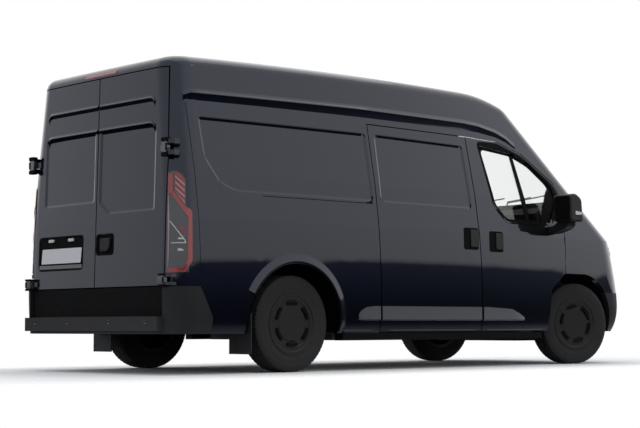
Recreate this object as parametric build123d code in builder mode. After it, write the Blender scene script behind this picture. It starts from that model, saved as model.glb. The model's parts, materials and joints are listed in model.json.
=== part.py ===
"""Panel van with a high roof, a sliding side door and twin rear doors.

The frame has +X forward, +Y to the van's left and +Z up.  The origin is on the road, under the
middle of the van.  Lengths are in millimetres and angles in degrees.
"""

from build123d import *
import os

os.makedirs("parts", exist_ok=True)

# Overall sizes
wheelbase = 3372
rear_overhang = 1142
front_overhang = 770
body_half_width = 1000
roof_height = 2262
wall = 45
panel_gap = 8

# Stations along the van
length = rear_overhang + wheelbase + front_overhang
tail_x = -length / 2
nose_x = length / 2
rear_axle_x = tail_x + rear_overhang
front_axle_x = rear_axle_x + wheelbase
rear_skin_x = tail_x + 56

# Heights
skirt_z = 280
sill_bottom_z = 225
door_bottom_z = 290
bumper_top_z = 605
rear_door_bottom_z = 613
rear_door_top_z = 2130
step_top_z = 400
floor_top_z = 600
floor_thickness = 50
bonnet_front_z = 1085
cowl_z = 1400
roof_radius = 90

# Wheels
tyre_radius = 350
tyre_width = 195
tyre_edge_radius = 28
rim_radius = 205
wheel_half_track = 838
spindle_radius = 30
spindle_clearance = 0.05
hub_length = 70
kingpin_half_track = 700
rest_steer = -13.5
arch_gap = 85
arch_top_z = 778

# Doors
rear_door_half_width = 812
rear_split = 10
cab_door_front_x = 1605
cab_door_rear_x = 425
sliding_door_rear_x = -715
sliding_door_front_x = 415
glass_thickness = 6
pressing_depth = 7

# Hinges
hinge_clearance = 0.05
knuckle_end_gap = 0.5
rear_hinge_x = -2600
rear_hinge_half_track = 830
rear_hinge_lean = 0.024
rear_pin_radius = 6
rear_barrel_radius = 11
slim_pin_radius = 2
slim_barrel_radius = 3.4
cab_hinge_half_track = 990
cab_hinge_heights = (880, 1060)
bonnet_hinge_x = 2150

# Battery, drive unit and running gear
battery_rear_x = -920
battery_front_x = 1330
battery_half_width = 790
drive_unit_size = (520, 620, 420)
seat_width = 480


# ----------------------------------------------------------------------------------------------
# The body's outer form: level rings joined by lofts, then cut by the side profile
# ----------------------------------------------------------------------------------------------

# Each level: height, tail set-in, nose set-back, half-width loss at the middle, tail and nose,
# corner radius at the nose, bow of the nose
lower_levels = [
    (skirt_z, -4, 57, 50, 85, 70, 330, 120),
    (430, 0, 0, 22, 58, 42, 330, 120),
    (620, 3, 17, 6, 44, 28, 330, 120),
    (850, 8, 80, 0, 40, 24, 320, 120),
    (1080, 13, 157, 2, 42, 30, 300, 120),
]
cowl_level = (cowl_z, 22, 582, 25, 66, 65, 240, 110)
sky_level = (2400, 46, 1722, 155, 194, 210, 240, 110)
rear_corner_radius = 180
tail_bow = 12


def ring(level, inset, slope_factor):
    """One level outline of the body, set in by a wall thickness."""
    z, tail_in, nose_back, mid_loss, tail_loss, nose_loss, nose_radius, bow = level
    x_tail = rear_skin_x + tail_in + inset
    x_nose = nose_x - nose_back - inset * slope_factor
    y_mid = body_half_width - mid_loss - inset
    y_tail = body_half_width - tail_loss - inset
    y_nose = body_half_width - nose_loss - inset
    x_side = (x_tail + x_nose) / 2
    with BuildSketch(Plane.XY.offset(z)) as outline:
        with BuildLine():
            ThreePointArc((x_tail + tail_bow, -y_tail), (x_tail, 0), (x_tail + tail_bow, y_tail))
            ThreePointArc((x_tail + tail_bow, y_tail), (x_side, y_mid), (x_nose - bow, y_nose))
            ThreePointArc((x_nose - bow, y_nose), (x_nose, 0), (x_nose - bow, -y_nose))
            ThreePointArc((x_nose - bow, -y_nose), (x_side, -y_mid), (x_tail + tail_bow, -y_tail))
        make_face()
        fillet(outline.vertices().group_by(Axis.X)[0], rear_corner_radius - inset)
        fillet(outline.vertices().group_by(Axis.X)[-1], nose_radius - inset)
    return outline.sketch


def lower_body(inset):
    """The body below the bonnet's front edge, set in from the outer skin by a thickness."""
    with BuildPart() as tub:
        loft(sections=[ring(level, inset, 1) for level in lower_levels])
    return tub.part


def envelope(inset):
    """The whole body as one solid, set in from the outer skin by a thickness."""
    slope_factor = 1.5
    top = roof_height - inset
    with BuildPart() as body:
        add(lower_body(inset))
        belt_ring = ring(lower_levels[-1], inset, 1)
        cowl_ring = ring(cowl_level, inset, slope_factor)
        loft(sections=[belt_ring, cowl_ring], ruled=True)
        loft(sections=[cowl_ring, ring(sky_level, inset, slope_factor)], ruled=True)
        with BuildSketch(Plane.XZ):
            with BuildLine():
                Line((tail_x - 300, top - 47), (rear_skin_x, top - 47))
                crown = ThreePointArc((rear_skin_x, top - 47), (-1000, top - 6), (500, top))
                cap = TangentArc((500, top), (1500, top - 362), tangent=crown % 1)
                Line(cap @ 1, (nose_x + 300, top - 362))
                Line((nose_x + 300, top - 362), (nose_x + 300, 0))
                Line((nose_x + 300, 0), (tail_x - 300, 0))
                Line((tail_x - 300, 0), (tail_x - 300, top - 47))
            make_face()
        extrude(amount=body_half_width + 200, both=True, mode=Mode.INTERSECT)
        high_edges = body.edges().filter_by(lambda e: e.center().Z > top - 160 and e.length > 100)
        rim = high_edges.filter_by(lambda e: abs(e.center().Y) > 300 or e.center().X < -2000)
        fillet(rim, roof_radius - inset * 0.6)
    return body.part


def block(points, plane=Plane.XZ, reach=1500, rounding=0, grow=0):
    """A straight prism over a closed outline, reaching both ways from its plane."""
    with BuildPart() as prism:
        with BuildSketch(plane) as face:
            with BuildLine():
                Polyline(*points, close=True)
            make_face()
            if rounding:
                fillet(face.vertices(), rounding)
            if grow:
                offset(amount=grow, kind=Kind.INTERSECTION)
        extrude(amount=reach, both=True)
    return prism.part


def box_between(low, high):
    """A box given by its lowest and highest corners."""
    size = [b - a for a, b in zip(low, high)]
    centre = [(a + b) / 2 for a, b in zip(low, high)]
    with BuildPart(Plane(origin=centre)) as brick:
        Box(*size)
    return brick.part


def finish(piece, name):
    """Label a piece and write it."""
    piece.label = name
    export_step(piece, f"parts/{name}.step")


def hinge(plane, half_length, knuckle_half, barrel_radius, pin_radius, fixed_leaf, moving_leaf):
    """A hinge about its plane's Z axis: two lugs with the pin, and the knuckle that turns on it."""
    lug_length = half_length - knuckle_half - knuckle_end_gap
    with BuildPart() as lugs:
        for start in (-half_length, half_length - lug_length):
            with BuildSketch(plane.offset(start)):
                Circle(barrel_radius)
                with BuildLine():
                    Polyline(*fixed_leaf, close=True)
                make_face()
            extrude(amount=lug_length)
        with BuildSketch(plane.offset(-half_length)):
            Circle(pin_radius)
        extrude(amount=2 * half_length)
    with BuildPart() as knuckle:
        with BuildSketch(plane.offset(-knuckle_half)):
            Circle(barrel_radius)
            with BuildLine():
                Polyline(*moving_leaf, close=True)
            make_face()
            Circle(pin_radius + hinge_clearance, mode=Mode.SUBTRACT)
        extrude(amount=2 * knuckle_half)
    return lugs.part, knuckle.part


outer = envelope(0)
inner = envelope(wall)
pressed = envelope(pressing_depth)
far = 4000

with BuildPart() as shell:
    add(outer)
    add(inner, mode=Mode.SUBTRACT)

with BuildPart() as skin:
    add(outer)
    add(pressed, mode=Mode.SUBTRACT)

right_half = box_between((-far, -far, 0), (far, 0, far))
left_half = box_between((-far, 0, 0), (far, far, far))

# ----------------------------------------------------------------------------------------------
# Outlines that panels and openings share
# ----------------------------------------------------------------------------------------------


def arch(axle_x, grow=0, reach=1500):
    """The opening of a wheel arch, as a prism across the van."""
    radius = tyre_radius + arch_gap
    with BuildPart() as opening:
        with BuildSketch(Plane.XZ) as face:
            if axle_x > 0:
                with BuildLine():
                    Line((axle_x - 490, 100), (axle_x - 452, 640))
                    Line((axle_x - 452, 640), (axle_x - 272, arch_top_z))
                    Line((axle_x - 272, arch_top_z), (axle_x, arch_top_z))
                    ThreePointArc((axle_x, arch_top_z), (axle_x + 287, 638), (axle_x + 396, 350))
                    Line((axle_x + 396, 350), (axle_x + 400, 100))
                    Line((axle_x + 400, 100), (axle_x - 490, 100))
                make_face()
                corners = face.vertices().filter_by(lambda v: v.Z > 600 and v.X < axle_x - 200)
                fillet(corners, 70)
            else:
                with Locations((axle_x, tyre_radius)):
                    Circle(radius)
                with Locations((axle_x, 225)):
                    Rectangle(2 * radius, 250)
            if grow:
                offset(amount=grow)
        extrude(amount=reach, both=True)
    return opening.part


cab_door_outline = [
    (cab_door_rear_x, 1868),
    (820, 1859),
    (1140, 1775),
    (1520, 1560),
    (cab_door_front_x, 1440),
    (cab_door_front_x, door_bottom_z),
    (cab_door_rear_x + 120, door_bottom_z),
]
cab_window_outline = [
    (570, 1815),
    (985, 1776),
    (1220, 1700),
    (1480, 1535),
    (1530, 1420),
    (1420, 1200),
    (850, 1192),
    (698, 1322),
]
sliding_door_outline = [
    (sliding_door_rear_x, 1870),
    (sliding_door_front_x, 1868),
    (sliding_door_front_x + 120, door_bottom_z),
    (sliding_door_rear_x + 95, door_bottom_z),
]
side_pressing_outline = [
    (-2350, 1785),
    (sliding_door_rear_x - 35, 1795),
    (sliding_door_rear_x - 5, 1275),
    (-2060, 1275),
    (-2200, 1330),
    (-2320, 1500),
]
door_pressing_outline = [
    (sliding_door_rear_x + 60, 1797),
    (sliding_door_front_x - 50, 1790),
    (sliding_door_front_x - 10, 1275),
    (sliding_door_rear_x + 75, 1275),
]
roof_seam_x = 455
roof_line = [
    (-far, 1920),
    (-2440, 1925),
    (-800, 1952),
    (roof_seam_x, 1957),
]

cab_door_block = block(cab_door_outline)
cab_opening_block = block(
    [*cab_door_outline[:5], (cab_door_front_x, 0), (cab_door_rear_x + 140, 0)],
    grow=panel_gap,
)
window_block = block(cab_window_outline, rounding=30)
slide_block = block(sliding_door_outline)
slide_opening_block = block(
    [*sliding_door_outline[:2], (sliding_door_front_x + 140, 0), (sliding_door_rear_x + 112, 0)],
    grow=panel_gap,
)
front_arch = arch(front_axle_x)
rear_arch = arch(rear_axle_x)

bumper_side = [
    (-far, 0),
    (tail_x + 372, 0),
    (tail_x + 372, 392),
    (tail_x + 252, bumper_top_z),
    (-far, bumper_top_z),
]
bumper_block = block(bumper_side)
lamp_side = [
    (-far, 695),
    (-2462, 700),
    (-2456, 1070),
    (-2525, 1125),
    (-2535, 1300),
    (-far, 1392),
]
lamp_inner_y = 828
lamp_block = block(lamp_side)
lamp_zone = box_between((-far, -far, 0), (0, -lamp_inner_y, far))

rear_door_shoulder_z = 1500
rear_door_top_half_width = 772
rear_door_outline = [
    (rear_door_half_width, rear_door_bottom_z),
    (rear_door_half_width, rear_door_shoulder_z),
    (rear_door_top_half_width, rear_door_top_z),
    (rear_split / 2, rear_door_top_z),
    (rear_split / 2, rear_door_bottom_z),
]
rear_opening_outline = [
    (rear_door_half_width, 0),
    (rear_door_half_width, rear_door_shoulder_z),
    (rear_door_top_half_width, rear_door_top_z),
    (-rear_door_top_half_width, rear_door_top_z),
    (-rear_door_half_width, rear_door_shoulder_z),
    (-rear_door_half_width, 0),
]
rear_opening_block = block(rear_opening_outline, plane=Plane.YZ, reach=far, grow=panel_gap)
tail_zone = box_between((-far, -far, 0), (rear_skin_x + 160, far, far))
with BuildPart() as rear_opening:
    add(rear_opening_block)
    add(tail_zone, mode=Mode.INTERSECT)

# Hinges of the right-hand doors: the left ones are their mirror images
rear_hinges = [
    hinge(
        Plane(
            origin=(rear_hinge_x + (height - 660) * rear_hinge_lean, -rear_hinge_half_track, height),
            x_dir=(1, 0, -rear_hinge_lean),
            z_dir=(rear_hinge_lean, 0, 1),
        ),
        half_length,
        knuckle_half,
        rear_barrel_radius,
        rear_pin_radius,
        fixed_leaf=[(-8, 0), (-8, -45), (20, -78), (62, -78), (62, 4), (4, 8)],
        moving_leaf=[(-6, 0), (-6, 10), (8, 24), (14, 80), (36, 80), (34, 20), (20, 12), (6, 0)],
    )
    for height, half_length, knuckle_half in ((651, 38, 17), (1560, 55, 22))
]
web = slim_barrel_radius * 0.6
reach = panel_gap / 2 + 1
cab_hinges = [
    hinge(
        Plane(origin=(cab_door_front_x + panel_gap / 2, -cab_hinge_half_track, height)),
        30,
        14,
        slim_barrel_radius,
        slim_pin_radius,
        fixed_leaf=[(0, -web), (reach, -web), (reach + 11, 20), (reach, 20), (0, web)],
        moving_leaf=[(0, -web), (-reach, -web), (-reach - 11, 20), (-reach, 20), (0, web)],
    )
    for height in cab_hinge_heights
]

cab_top_side = [
    (roof_seam_x, far),
    (roof_seam_x, 1876),
    (820, 1867),
    (1145, 1783),
    (1526, 1567),
    (cab_door_front_x + panel_gap, 1445),
    (cab_door_front_x + panel_gap, 1335),
    (1840, 1335),
    (far, 1335),
    (far, far),
]

# ----------------------------------------------------------------------------------------------
# Body shell
# ----------------------------------------------------------------------------------------------

upper_roof = block([*roof_line, (roof_seam_x, far), (-far, far)])

high_lamp_zone = box_between((-far, -200, 2150), (rear_skin_x + 80, 200, 2184))

with BuildPart() as roof:
    add(shell.part)
    add(upper_roof, mode=Mode.INTERSECT)
    add(rear_opening.part, mode=Mode.SUBTRACT)
    add(high_lamp_zone, mode=Mode.SUBTRACT)
finish(roof.part, "roof")

with BuildPart() as high_brake_lamp:
    add(shell.part)
    add(high_lamp_zone, mode=Mode.INTERSECT)
finish(high_brake_lamp.part, "high_brake_lamp")

side_lower = block(
    [
        (-far, 0),
        (cab_door_rear_x + 250, 0),
        (cab_door_rear_x + 250, 1850),
        (roof_seam_x, 1862),
        *reversed(roof_line),
    ]
)


def side_stock(half):
    """The side wall with the openings that both sides have."""
    with BuildPart() as side:
        add(shell.part)
        add(half, mode=Mode.INTERSECT)
        add(side_lower, mode=Mode.INTERSECT)
        add(rear_opening.part, mode=Mode.SUBTRACT)
        add(cab_opening_block, mode=Mode.SUBTRACT)
        add(rear_arch, mode=Mode.SUBTRACT)
        add(bumper_block, mode=Mode.SUBTRACT)
    return side.part


lamp_pocket = lamp_zone & lamp_block
with BuildPart() as body_side_right:
    add(side_stock(right_half))
    add(slide_opening_block, mode=Mode.SUBTRACT)
    add(lamp_pocket, mode=Mode.SUBTRACT)
    add(skin.part & block(side_pressing_outline, rounding=25), mode=Mode.SUBTRACT)
    for lugs, knuckle in rear_hinges:
        add(lugs)
finish(body_side_right.part, "body_side_right")

with BuildPart() as body_side_left:
    add(side_stock(left_half))
    add(mirror(lamp_pocket, about=Plane.XZ), mode=Mode.SUBTRACT)
    add(skin.part & block(side_pressing_outline, rounding=25), mode=Mode.SUBTRACT)
    add(skin.part & block(door_pressing_outline, rounding=25), mode=Mode.SUBTRACT)
    for lugs, knuckle in rear_hinges:
        add(mirror(lugs, about=Plane.XZ))
finish(body_side_left.part, "body_side_left")

with BuildPart() as sliding_door:
    add(shell.part)
    add(right_half, mode=Mode.INTERSECT)
    add(slide_block, mode=Mode.INTERSECT)
    add(skin.part & block(door_pressing_outline, rounding=25), mode=Mode.SUBTRACT)
finish(sliding_door.part, "sliding_door")

with BuildPart() as tail_lamps:
    add(shell.part)
    add(right_half, mode=Mode.INTERSECT)
    add(lamp_pocket, mode=Mode.INTERSECT)
    add(rear_opening.part, mode=Mode.SUBTRACT)
    mirror(about=Plane.XZ)
finish(tail_lamps.part, "tail_lamps")


# Roof cap, pillars and screen over the cab, with the glass bonded in
screen_outline = [(-800, 1440), (-700, 1935), (700, 1935), (800, 1440)]
screen_block = block(screen_outline, plane=Plane.YZ, reach=far, rounding=60)
front_zone = box_between((1000, -far, 0), (far, far, far))
screen_opening = screen_block & front_zone
cowl_bottom_z = 1335
cowl_half_width = 760
cowl_zone = box_between((1800, -cowl_half_width, cowl_bottom_z), (far, cowl_half_width, 1436))

with BuildPart() as cab_top:
    add(shell.part)
    add(block(cab_top_side), mode=Mode.INTERSECT)
    add(screen_opening, mode=Mode.SUBTRACT)
    add(cowl_zone, mode=Mode.SUBTRACT)
finish(cab_top.part, "cab_top")

with BuildPart() as windscreen:
    add(outer)
    add(envelope(glass_thickness), mode=Mode.SUBTRACT)
    add(screen_opening, mode=Mode.INTERSECT)
finish(windscreen.part, "windscreen")

bonnet_hinge_z = cowl_bottom_z - panel_gap / 2
bonnet_hinges = [
    hinge(
        Plane(origin=(bonnet_hinge_x, y, bonnet_hinge_z), x_dir=(-1, 0, 0), z_dir=(0, 1, 0)),
        30,
        14,
        slim_barrel_radius,
        slim_pin_radius,
        fixed_leaf=[(-web, 0), (-web, reach), (14, reach + 12), (14, reach), (web, 0)],
        moving_leaf=[(-web, 0), (-web, -reach), (2, -reach - 12), (14, -reach), (web, 0)],
    )
    for y in (-140, 140)
]

with BuildPart() as cowl:
    add(shell.part)
    add(cowl_zone, mode=Mode.INTERSECT)
    for lugs, knuckle in bonnet_hinges:
        add(lugs)
finish(cowl.part, "cowl")

# ----------------------------------------------------------------------------------------------
# Front end: bonnet, wings, nose panel, lamps and bumper
# ----------------------------------------------------------------------------------------------

bonnet_half_width = 745
bonnet_rear_z = cowl_bottom_z - panel_gap
bonnet_zone = box_between(
    (1900, -bonnet_half_width, bonnet_front_z + 5),
    (far, bonnet_half_width, bonnet_rear_z),
)
bonnet_opening = box_between(
    (1900, -bonnet_half_width - panel_gap, bonnet_front_z - 3),
    (far, bonnet_half_width + panel_gap, cowl_bottom_z),
)
front_bumper_top_z = 620
nose_split_x = 2300
lamp_low_z = 935
lamp_high_z = 1045
lamp_inner_half = 470

with BuildPart() as bonnet:
    add(shell.part)
    add(bonnet_zone, mode=Mode.INTERSECT)
    for lugs, knuckle in bonnet_hinges:
        add(knuckle)
finish(bonnet.part, "bonnet")

wing_rear_x = cab_door_front_x + panel_gap
wing_block = block(
    [
        (wing_rear_x, 0),
        (wing_rear_x, cowl_bottom_z),
        (far, cowl_bottom_z),
        (far, bonnet_front_z - 3),
        (nose_split_x, bonnet_front_z - 3),
        (nose_split_x, 0),
    ]
)
bumper_front_block = block(
    [(front_axle_x, 0), (front_axle_x, front_bumper_top_z), (far, front_bumper_top_z), (far, 0)]
)
with BuildPart() as wings:
    add(shell.part)
    add(wing_block, mode=Mode.INTERSECT)
    add(bonnet_opening, mode=Mode.SUBTRACT)
    add(front_arch, mode=Mode.SUBTRACT)
    add(bumper_front_block, mode=Mode.SUBTRACT)
    for lugs, knuckle in cab_hinges:
        add(lugs)
        add(mirror(lugs, about=Plane.XZ))
finish(wings.part, "wings")

nose_zone = box_between((nose_split_x, -far, front_bumper_top_z), (far, far, bonnet_front_z - 3))
headlamp_zone = box_between((nose_split_x, lamp_inner_half, lamp_low_z), (far, far, lamp_high_z))
with BuildPart() as headlamps:
    add(shell.part)
    add(headlamp_zone, mode=Mode.INTERSECT)
    mirror(about=Plane.XZ)
finish(headlamps.part, "headlamps")

with BuildPart() as nose_panel:
    add(shell.part)
    add(nose_zone, mode=Mode.INTERSECT)
    add(headlamp_zone, mode=Mode.SUBTRACT)
    add(mirror(headlamp_zone, about=Plane.XZ), mode=Mode.SUBTRACT)
finish(nose_panel.part, "nose_panel")

with BuildPart() as front_bumper:
    add(shell.part)
    add(bumper_front_block, mode=Mode.INTERSECT)
    add(front_arch, mode=Mode.SUBTRACT)
finish(front_bumper.part, "front_bumper")

# ----------------------------------------------------------------------------------------------
# Cab doors with their glass and mirrors
# ----------------------------------------------------------------------------------------------

with BuildPart() as cab_door_right:
    add(shell.part)
    add(right_half, mode=Mode.INTERSECT)
    add(cab_door_block, mode=Mode.INTERSECT)
    add(window_block, mode=Mode.SUBTRACT)
    add(front_arch, mode=Mode.SUBTRACT)
    for lugs, knuckle in cab_hinges:
        add(knuckle)
finish(cab_door_right.part, "cab_door_right")

with BuildPart() as door_glass_right:
    add(envelope(10))
    add(envelope(10 + glass_thickness), mode=Mode.SUBTRACT)
    add(right_half, mode=Mode.INTERSECT)
    add(window_block, mode=Mode.INTERSECT)
finish(door_glass_right.part, "door_glass_right")

mirror_x = 1435
with BuildPart() as mirror_right:
    with BuildSketch(Plane.XZ.offset(1100)):
        with BuildLine():
            Polyline(
                (mirror_x - 100, 1250),
                (mirror_x - 105, 1420),
                (mirror_x + 90, 1425),
                (mirror_x + 75, 1235),
                close=True,
            )
        make_face()
    extrude(amount=170)
    fillet(mirror_right.edges(), 24)
    with BuildSketch(Plane.XZ.offset(952)):
        with Locations((mirror_x + 20, 1215)):
            Rectangle(80, 34)
    extrude(amount=190)
    with BuildSketch(Plane.XY.offset(1200)):
        with Locations((mirror_x + 20, -1128)):
            Rectangle(56, 40)
    extrude(amount=60)
    add(outer.moved(Location((0, -0.3, 0))), mode=Mode.SUBTRACT)
finish(mirror_right.part, "mirror_right")

cab_door_left = mirror(cab_door_right.part, about=Plane.XZ)
door_glass_left = mirror(door_glass_right.part, about=Plane.XZ)
mirror_left = mirror(mirror_right.part, about=Plane.XZ)
finish(cab_door_left, "cab_door_left")
finish(door_glass_left, "door_glass_left")
finish(mirror_left, "mirror_left")

# ----------------------------------------------------------------------------------------------
# Rear doors
# ----------------------------------------------------------------------------------------------

left_door_block = block(rear_door_outline, plane=Plane.YZ, reach=far)
right_door_block = block([(-y, z) for y, z in rear_door_outline], plane=Plane.YZ, reach=far)
with BuildPart() as tail_shell:
    add(shell.part)
    add(tail_zone, mode=Mode.INTERSECT)
left_door_pressing = block(
    [(690, 1735), (690, 1225), (30, 1225), (30, 1745)],
    plane=Plane.YZ,
    reach=far,
    rounding=14,
)
right_door_pressing = block(
    [(-30, 1745), (-690, 1735), (-690, 1135), (-150, 1135), (-30, 1218)],
    plane=Plane.YZ,
    reach=far,
    rounding=14,
)
plate_recess = box_between((-far, 160, 750), (rear_skin_x + 22, 745, 998))
handle_recess = box_between((-far, -222, 845), (rear_skin_x + 28, -14, 992))

with BuildPart() as rear_door_left:
    add(tail_shell.part)
    add(left_door_block, mode=Mode.INTERSECT)
    add(skin.part & left_door_pressing, mode=Mode.SUBTRACT)
    add(plate_recess, mode=Mode.SUBTRACT)
    for lugs, knuckle in rear_hinges:
        add(mirror(knuckle, about=Plane.XZ))
finish(rear_door_left.part, "rear_door_left")

with BuildPart() as rear_door_right:
    add(tail_shell.part)
    add(right_door_block, mode=Mode.INTERSECT)
    add(skin.part & right_door_pressing, mode=Mode.SUBTRACT)
    add(handle_recess, mode=Mode.SUBTRACT)
    for lugs, knuckle in rear_hinges:
        add(knuckle)
finish(rear_door_right.part, "rear_door_right")

# ----------------------------------------------------------------------------------------------
# Rear bumper and the panel over its step
# ----------------------------------------------------------------------------------------------

bumper_proud = 28
corner_inner_half = 828
with BuildPart() as bumper_stock:
    add(lower_body(-bumper_proud))
    add(inner, mode=Mode.SUBTRACT)
    add(bumper_block, mode=Mode.INTERSECT)

step_zone = box_between(
    (-far, -corner_inner_half, step_top_z),
    (rear_skin_x + 200, corner_inner_half, bumper_top_z),
)
with BuildPart() as rear_bumper:
    add(bumper_stock.part)
    add(step_zone, mode=Mode.SUBTRACT)
    with BuildSketch(Plane.XY.offset(skirt_z + 20)):
        with Locations(((tail_x + rear_skin_x) / 2 + 10, 0)):
            Rectangle(rear_skin_x - tail_x + 20, 2 * corner_inner_half)
    extrude(amount=step_top_z - skirt_z - 20)
finish(rear_bumper.part, "rear_bumper")

with BuildPart() as step_panel:
    add(shell.part)
    add(step_zone, mode=Mode.INTERSECT)
finish(step_panel.part, "step_panel")

# ----------------------------------------------------------------------------------------------
# Floor, rails, battery, bulkhead and cab interior
# ----------------------------------------------------------------------------------------------

lining = envelope(wall + 0.5)
load_rear_x = rear_skin_x + wall + 12
firewall_x = 1640
footwell_half = 500
cab_floor_end_x = front_axle_x - 530
cab_half_width = 915
bulkhead_x = 395

load_board_half = 632
load_board_top_z = floor_top_z + 6
housing_grow = 44
rear_housing_inner_y = 640
aisle = box_between((-far, -rear_housing_inner_y, 0), (0, rear_housing_inner_y, far))
rear_housing_space = arch(rear_axle_x, grow=housing_grow + 0.3) - aisle
floor_bottom_z = floor_top_z - floor_thickness
firewall_back_x = firewall_x - 25
firewall_low_z = arch_top_z + housing_grow + 0.3

with BuildPart() as floor:
    with BuildSketch(Plane.XY.offset(floor_bottom_z)):
        with Locations(((load_rear_x + bulkhead_x) / 2, 0)):
            Rectangle(bulkhead_x - load_rear_x, 2 * body_half_width)
    extrude(amount=floor_thickness)
    add(rear_housing_space, mode=Mode.SUBTRACT)
    for low, high in (
        ((bulkhead_x, -cab_half_width, floor_bottom_z), (cab_floor_end_x, cab_half_width, floor_top_z)),
        ((cab_floor_end_x, -footwell_half, floor_bottom_z), (firewall_x, footwell_half, floor_top_z)),
        ((firewall_back_x, -footwell_half, floor_top_z), (firewall_x, footwell_half, firewall_low_z)),
        ((firewall_back_x, -cab_half_width, firewall_low_z), (firewall_x, cab_half_width, 1330)),
    ):
        add(box_between(low, high))
    add(lining, mode=Mode.INTERSECT)
    add(box_between((load_rear_x + 30, -load_board_half, floor_top_z), (bulkhead_x - 25, load_board_half, load_board_top_z)))
finish(floor.part, "floor")

towbar_hole_x = -2200
towbar_hole_spacing = 80
towbar_hole_radius = 6.5
rail_bottom_z = 430.5
rail_top_z = floor_bottom_z - 0.5
spring_half_track = 570
spring_rear_x = rear_axle_x - 620
spring_front_x = rear_axle_x + 560
spring_end_z = 462
with BuildPart() as chassis_rails:
    for side in (-1, 1):
        with Locations((-250, side * 470, (rail_bottom_z + rail_top_z) / 2)):
            Box(4300, 70, rail_top_z - rail_bottom_z)
        for hanger_x in (spring_rear_x + 25, spring_front_x - 25):
            with Locations((hanger_x, side * 545, (spring_end_z + 0.3 + rail_top_z) / 2)):
                Box(50, 120, rail_top_z - spring_end_z - 0.3)
    for station in (-2330, -1900, 1300):
        with Locations((station, 0, 490)):
            Box(80, 870, 90)
    add(box_between((1310, -505, 431), (1900, -435, 549)))
    add(box_between((1310, 435, 431), (1900, 505, 549)))
    with BuildSketch(Plane.XZ):
        with Locations((towbar_hole_x, 490)):
            with GridLocations(towbar_hole_spacing, 0, 2, 1):
                Circle(towbar_hole_radius)
    extrude(amount=600, both=True, mode=Mode.SUBTRACT)
finish(chassis_rails.part, "chassis_rails")

with BuildPart() as battery_pack:
    with BuildSketch(Plane.XY.offset(sill_bottom_z)):
        with Locations(((battery_rear_x + battery_front_x) / 2, 0)):
            Rectangle(battery_front_x - battery_rear_x, 2 * battery_half_width)
    extrude(amount=rail_bottom_z - 0.3 - sill_bottom_z)
    chamfer(battery_pack.edges().filter_by(Axis.Z), 60)
finish(battery_pack.part, "battery_pack")

sill_rear_x = rear_axle_x + tyre_radius + arch_gap + housing_grow + 10
sill_front_x = front_axle_x - 550
with BuildPart() as sills:
    with BuildSketch(Plane.XY.offset(sill_bottom_z)):
        for side in (-1, 1):
            with Locations(((sill_rear_x + sill_front_x) / 2, side * 905)):
                Rectangle(sill_front_x - sill_rear_x, 90)
    extrude(amount=skirt_z - sill_bottom_z - 0.5)
finish(sills.part, "sills")

with BuildPart() as bulkhead:
    add(lining)
    add(box_between((bulkhead_x - 20, -far, floor_top_z + 0.3), (bulkhead_x, far, far)), mode=Mode.INTERSECT)
finish(bulkhead.part, "bulkhead")

cab_lining = envelope(wall + 9)
with BuildPart() as dashboard:
    with BuildSketch(Plane.XZ):
        with BuildLine():
            Polyline(
                (1400, 1130),
                (1340, 1290),
                (1420, 1345),
                (1900, 1345),
                (1900, 1250),
                (firewall_x + 0.3, 1250),
                (firewall_x + 0.3, 950),
                (1480, 950),
                close=True,
            )
        make_face()
    extrude(amount=880, both=True)
    add(cab_lining, mode=Mode.INTERSECT)
    add(box_between((firewall_x - 25.3, -far, 0), (firewall_x + 0.3, far, 1330.3)), mode=Mode.SUBTRACT)
finish(dashboard.part, "dashboard")

driver_y = 480
seat_x = 900
with BuildPart() as steering_wheel:
    column = Plane(origin=(1215, driver_y, 1255), z_dir=(-0.75, 0, 0.66))
    with BuildSketch(column.offset(-16)):
        RegularPolygon(200, 24)
        RegularPolygon(168, 24, mode=Mode.SUBTRACT)
    extrude(amount=32)
    chamfer(steering_wheel.edges(), 8)
    with BuildSketch(column.offset(-35)):
        Circle(70)
    extrude(amount=40)
    with BuildSketch(column.offset(-22)):
        Rectangle(40, 360)
    extrude(amount=16)
    with BuildSketch(column.offset(-35)):
        Circle(35)
    extrude(amount=-260)
    add(dashboard.part, mode=Mode.SUBTRACT)
finish(steering_wheel.part, "steering_wheel")


def seat(y, width):
    """A seat on its plinth: cushion, leaning backrest and head restraint."""
    with BuildPart() as chair:
        with BuildSketch(Plane.XZ.offset(-y)):
            with BuildLine():
                Polyline(
                    (seat_x - 220, 640),
                    (seat_x - 220, 930),
                    (seat_x - 390, 1500),
                    (seat_x - 280, 1520),
                    (seat_x - 110, 1020),
                    (seat_x + 270, 1030),
                    (seat_x + 280, 900),
                    (seat_x + 200, 640),
                    close=True,
                )
            make_face()
        extrude(amount=width / 2, both=True)
        with BuildSketch(Plane.XZ.offset(-y)):
            with Locations((seat_x - 345, 1600)):
                Rectangle(100, 190, rotation=12)
        extrude(amount=130, both=True)
        add(box_between((seat_x - 200, y - width / 2 + 40, floor_top_z), (seat_x + 180, y + width / 2 - 40, 640)))
    return chair.part


with BuildPart() as seats:
    add(seat(driver_y, seat_width))
    add(seat(-395, 2 * seat_width - 60))
finish(seats.part, "seats")

# ----------------------------------------------------------------------------------------------
# Wheel housings and mud flaps
# ----------------------------------------------------------------------------------------------

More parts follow.
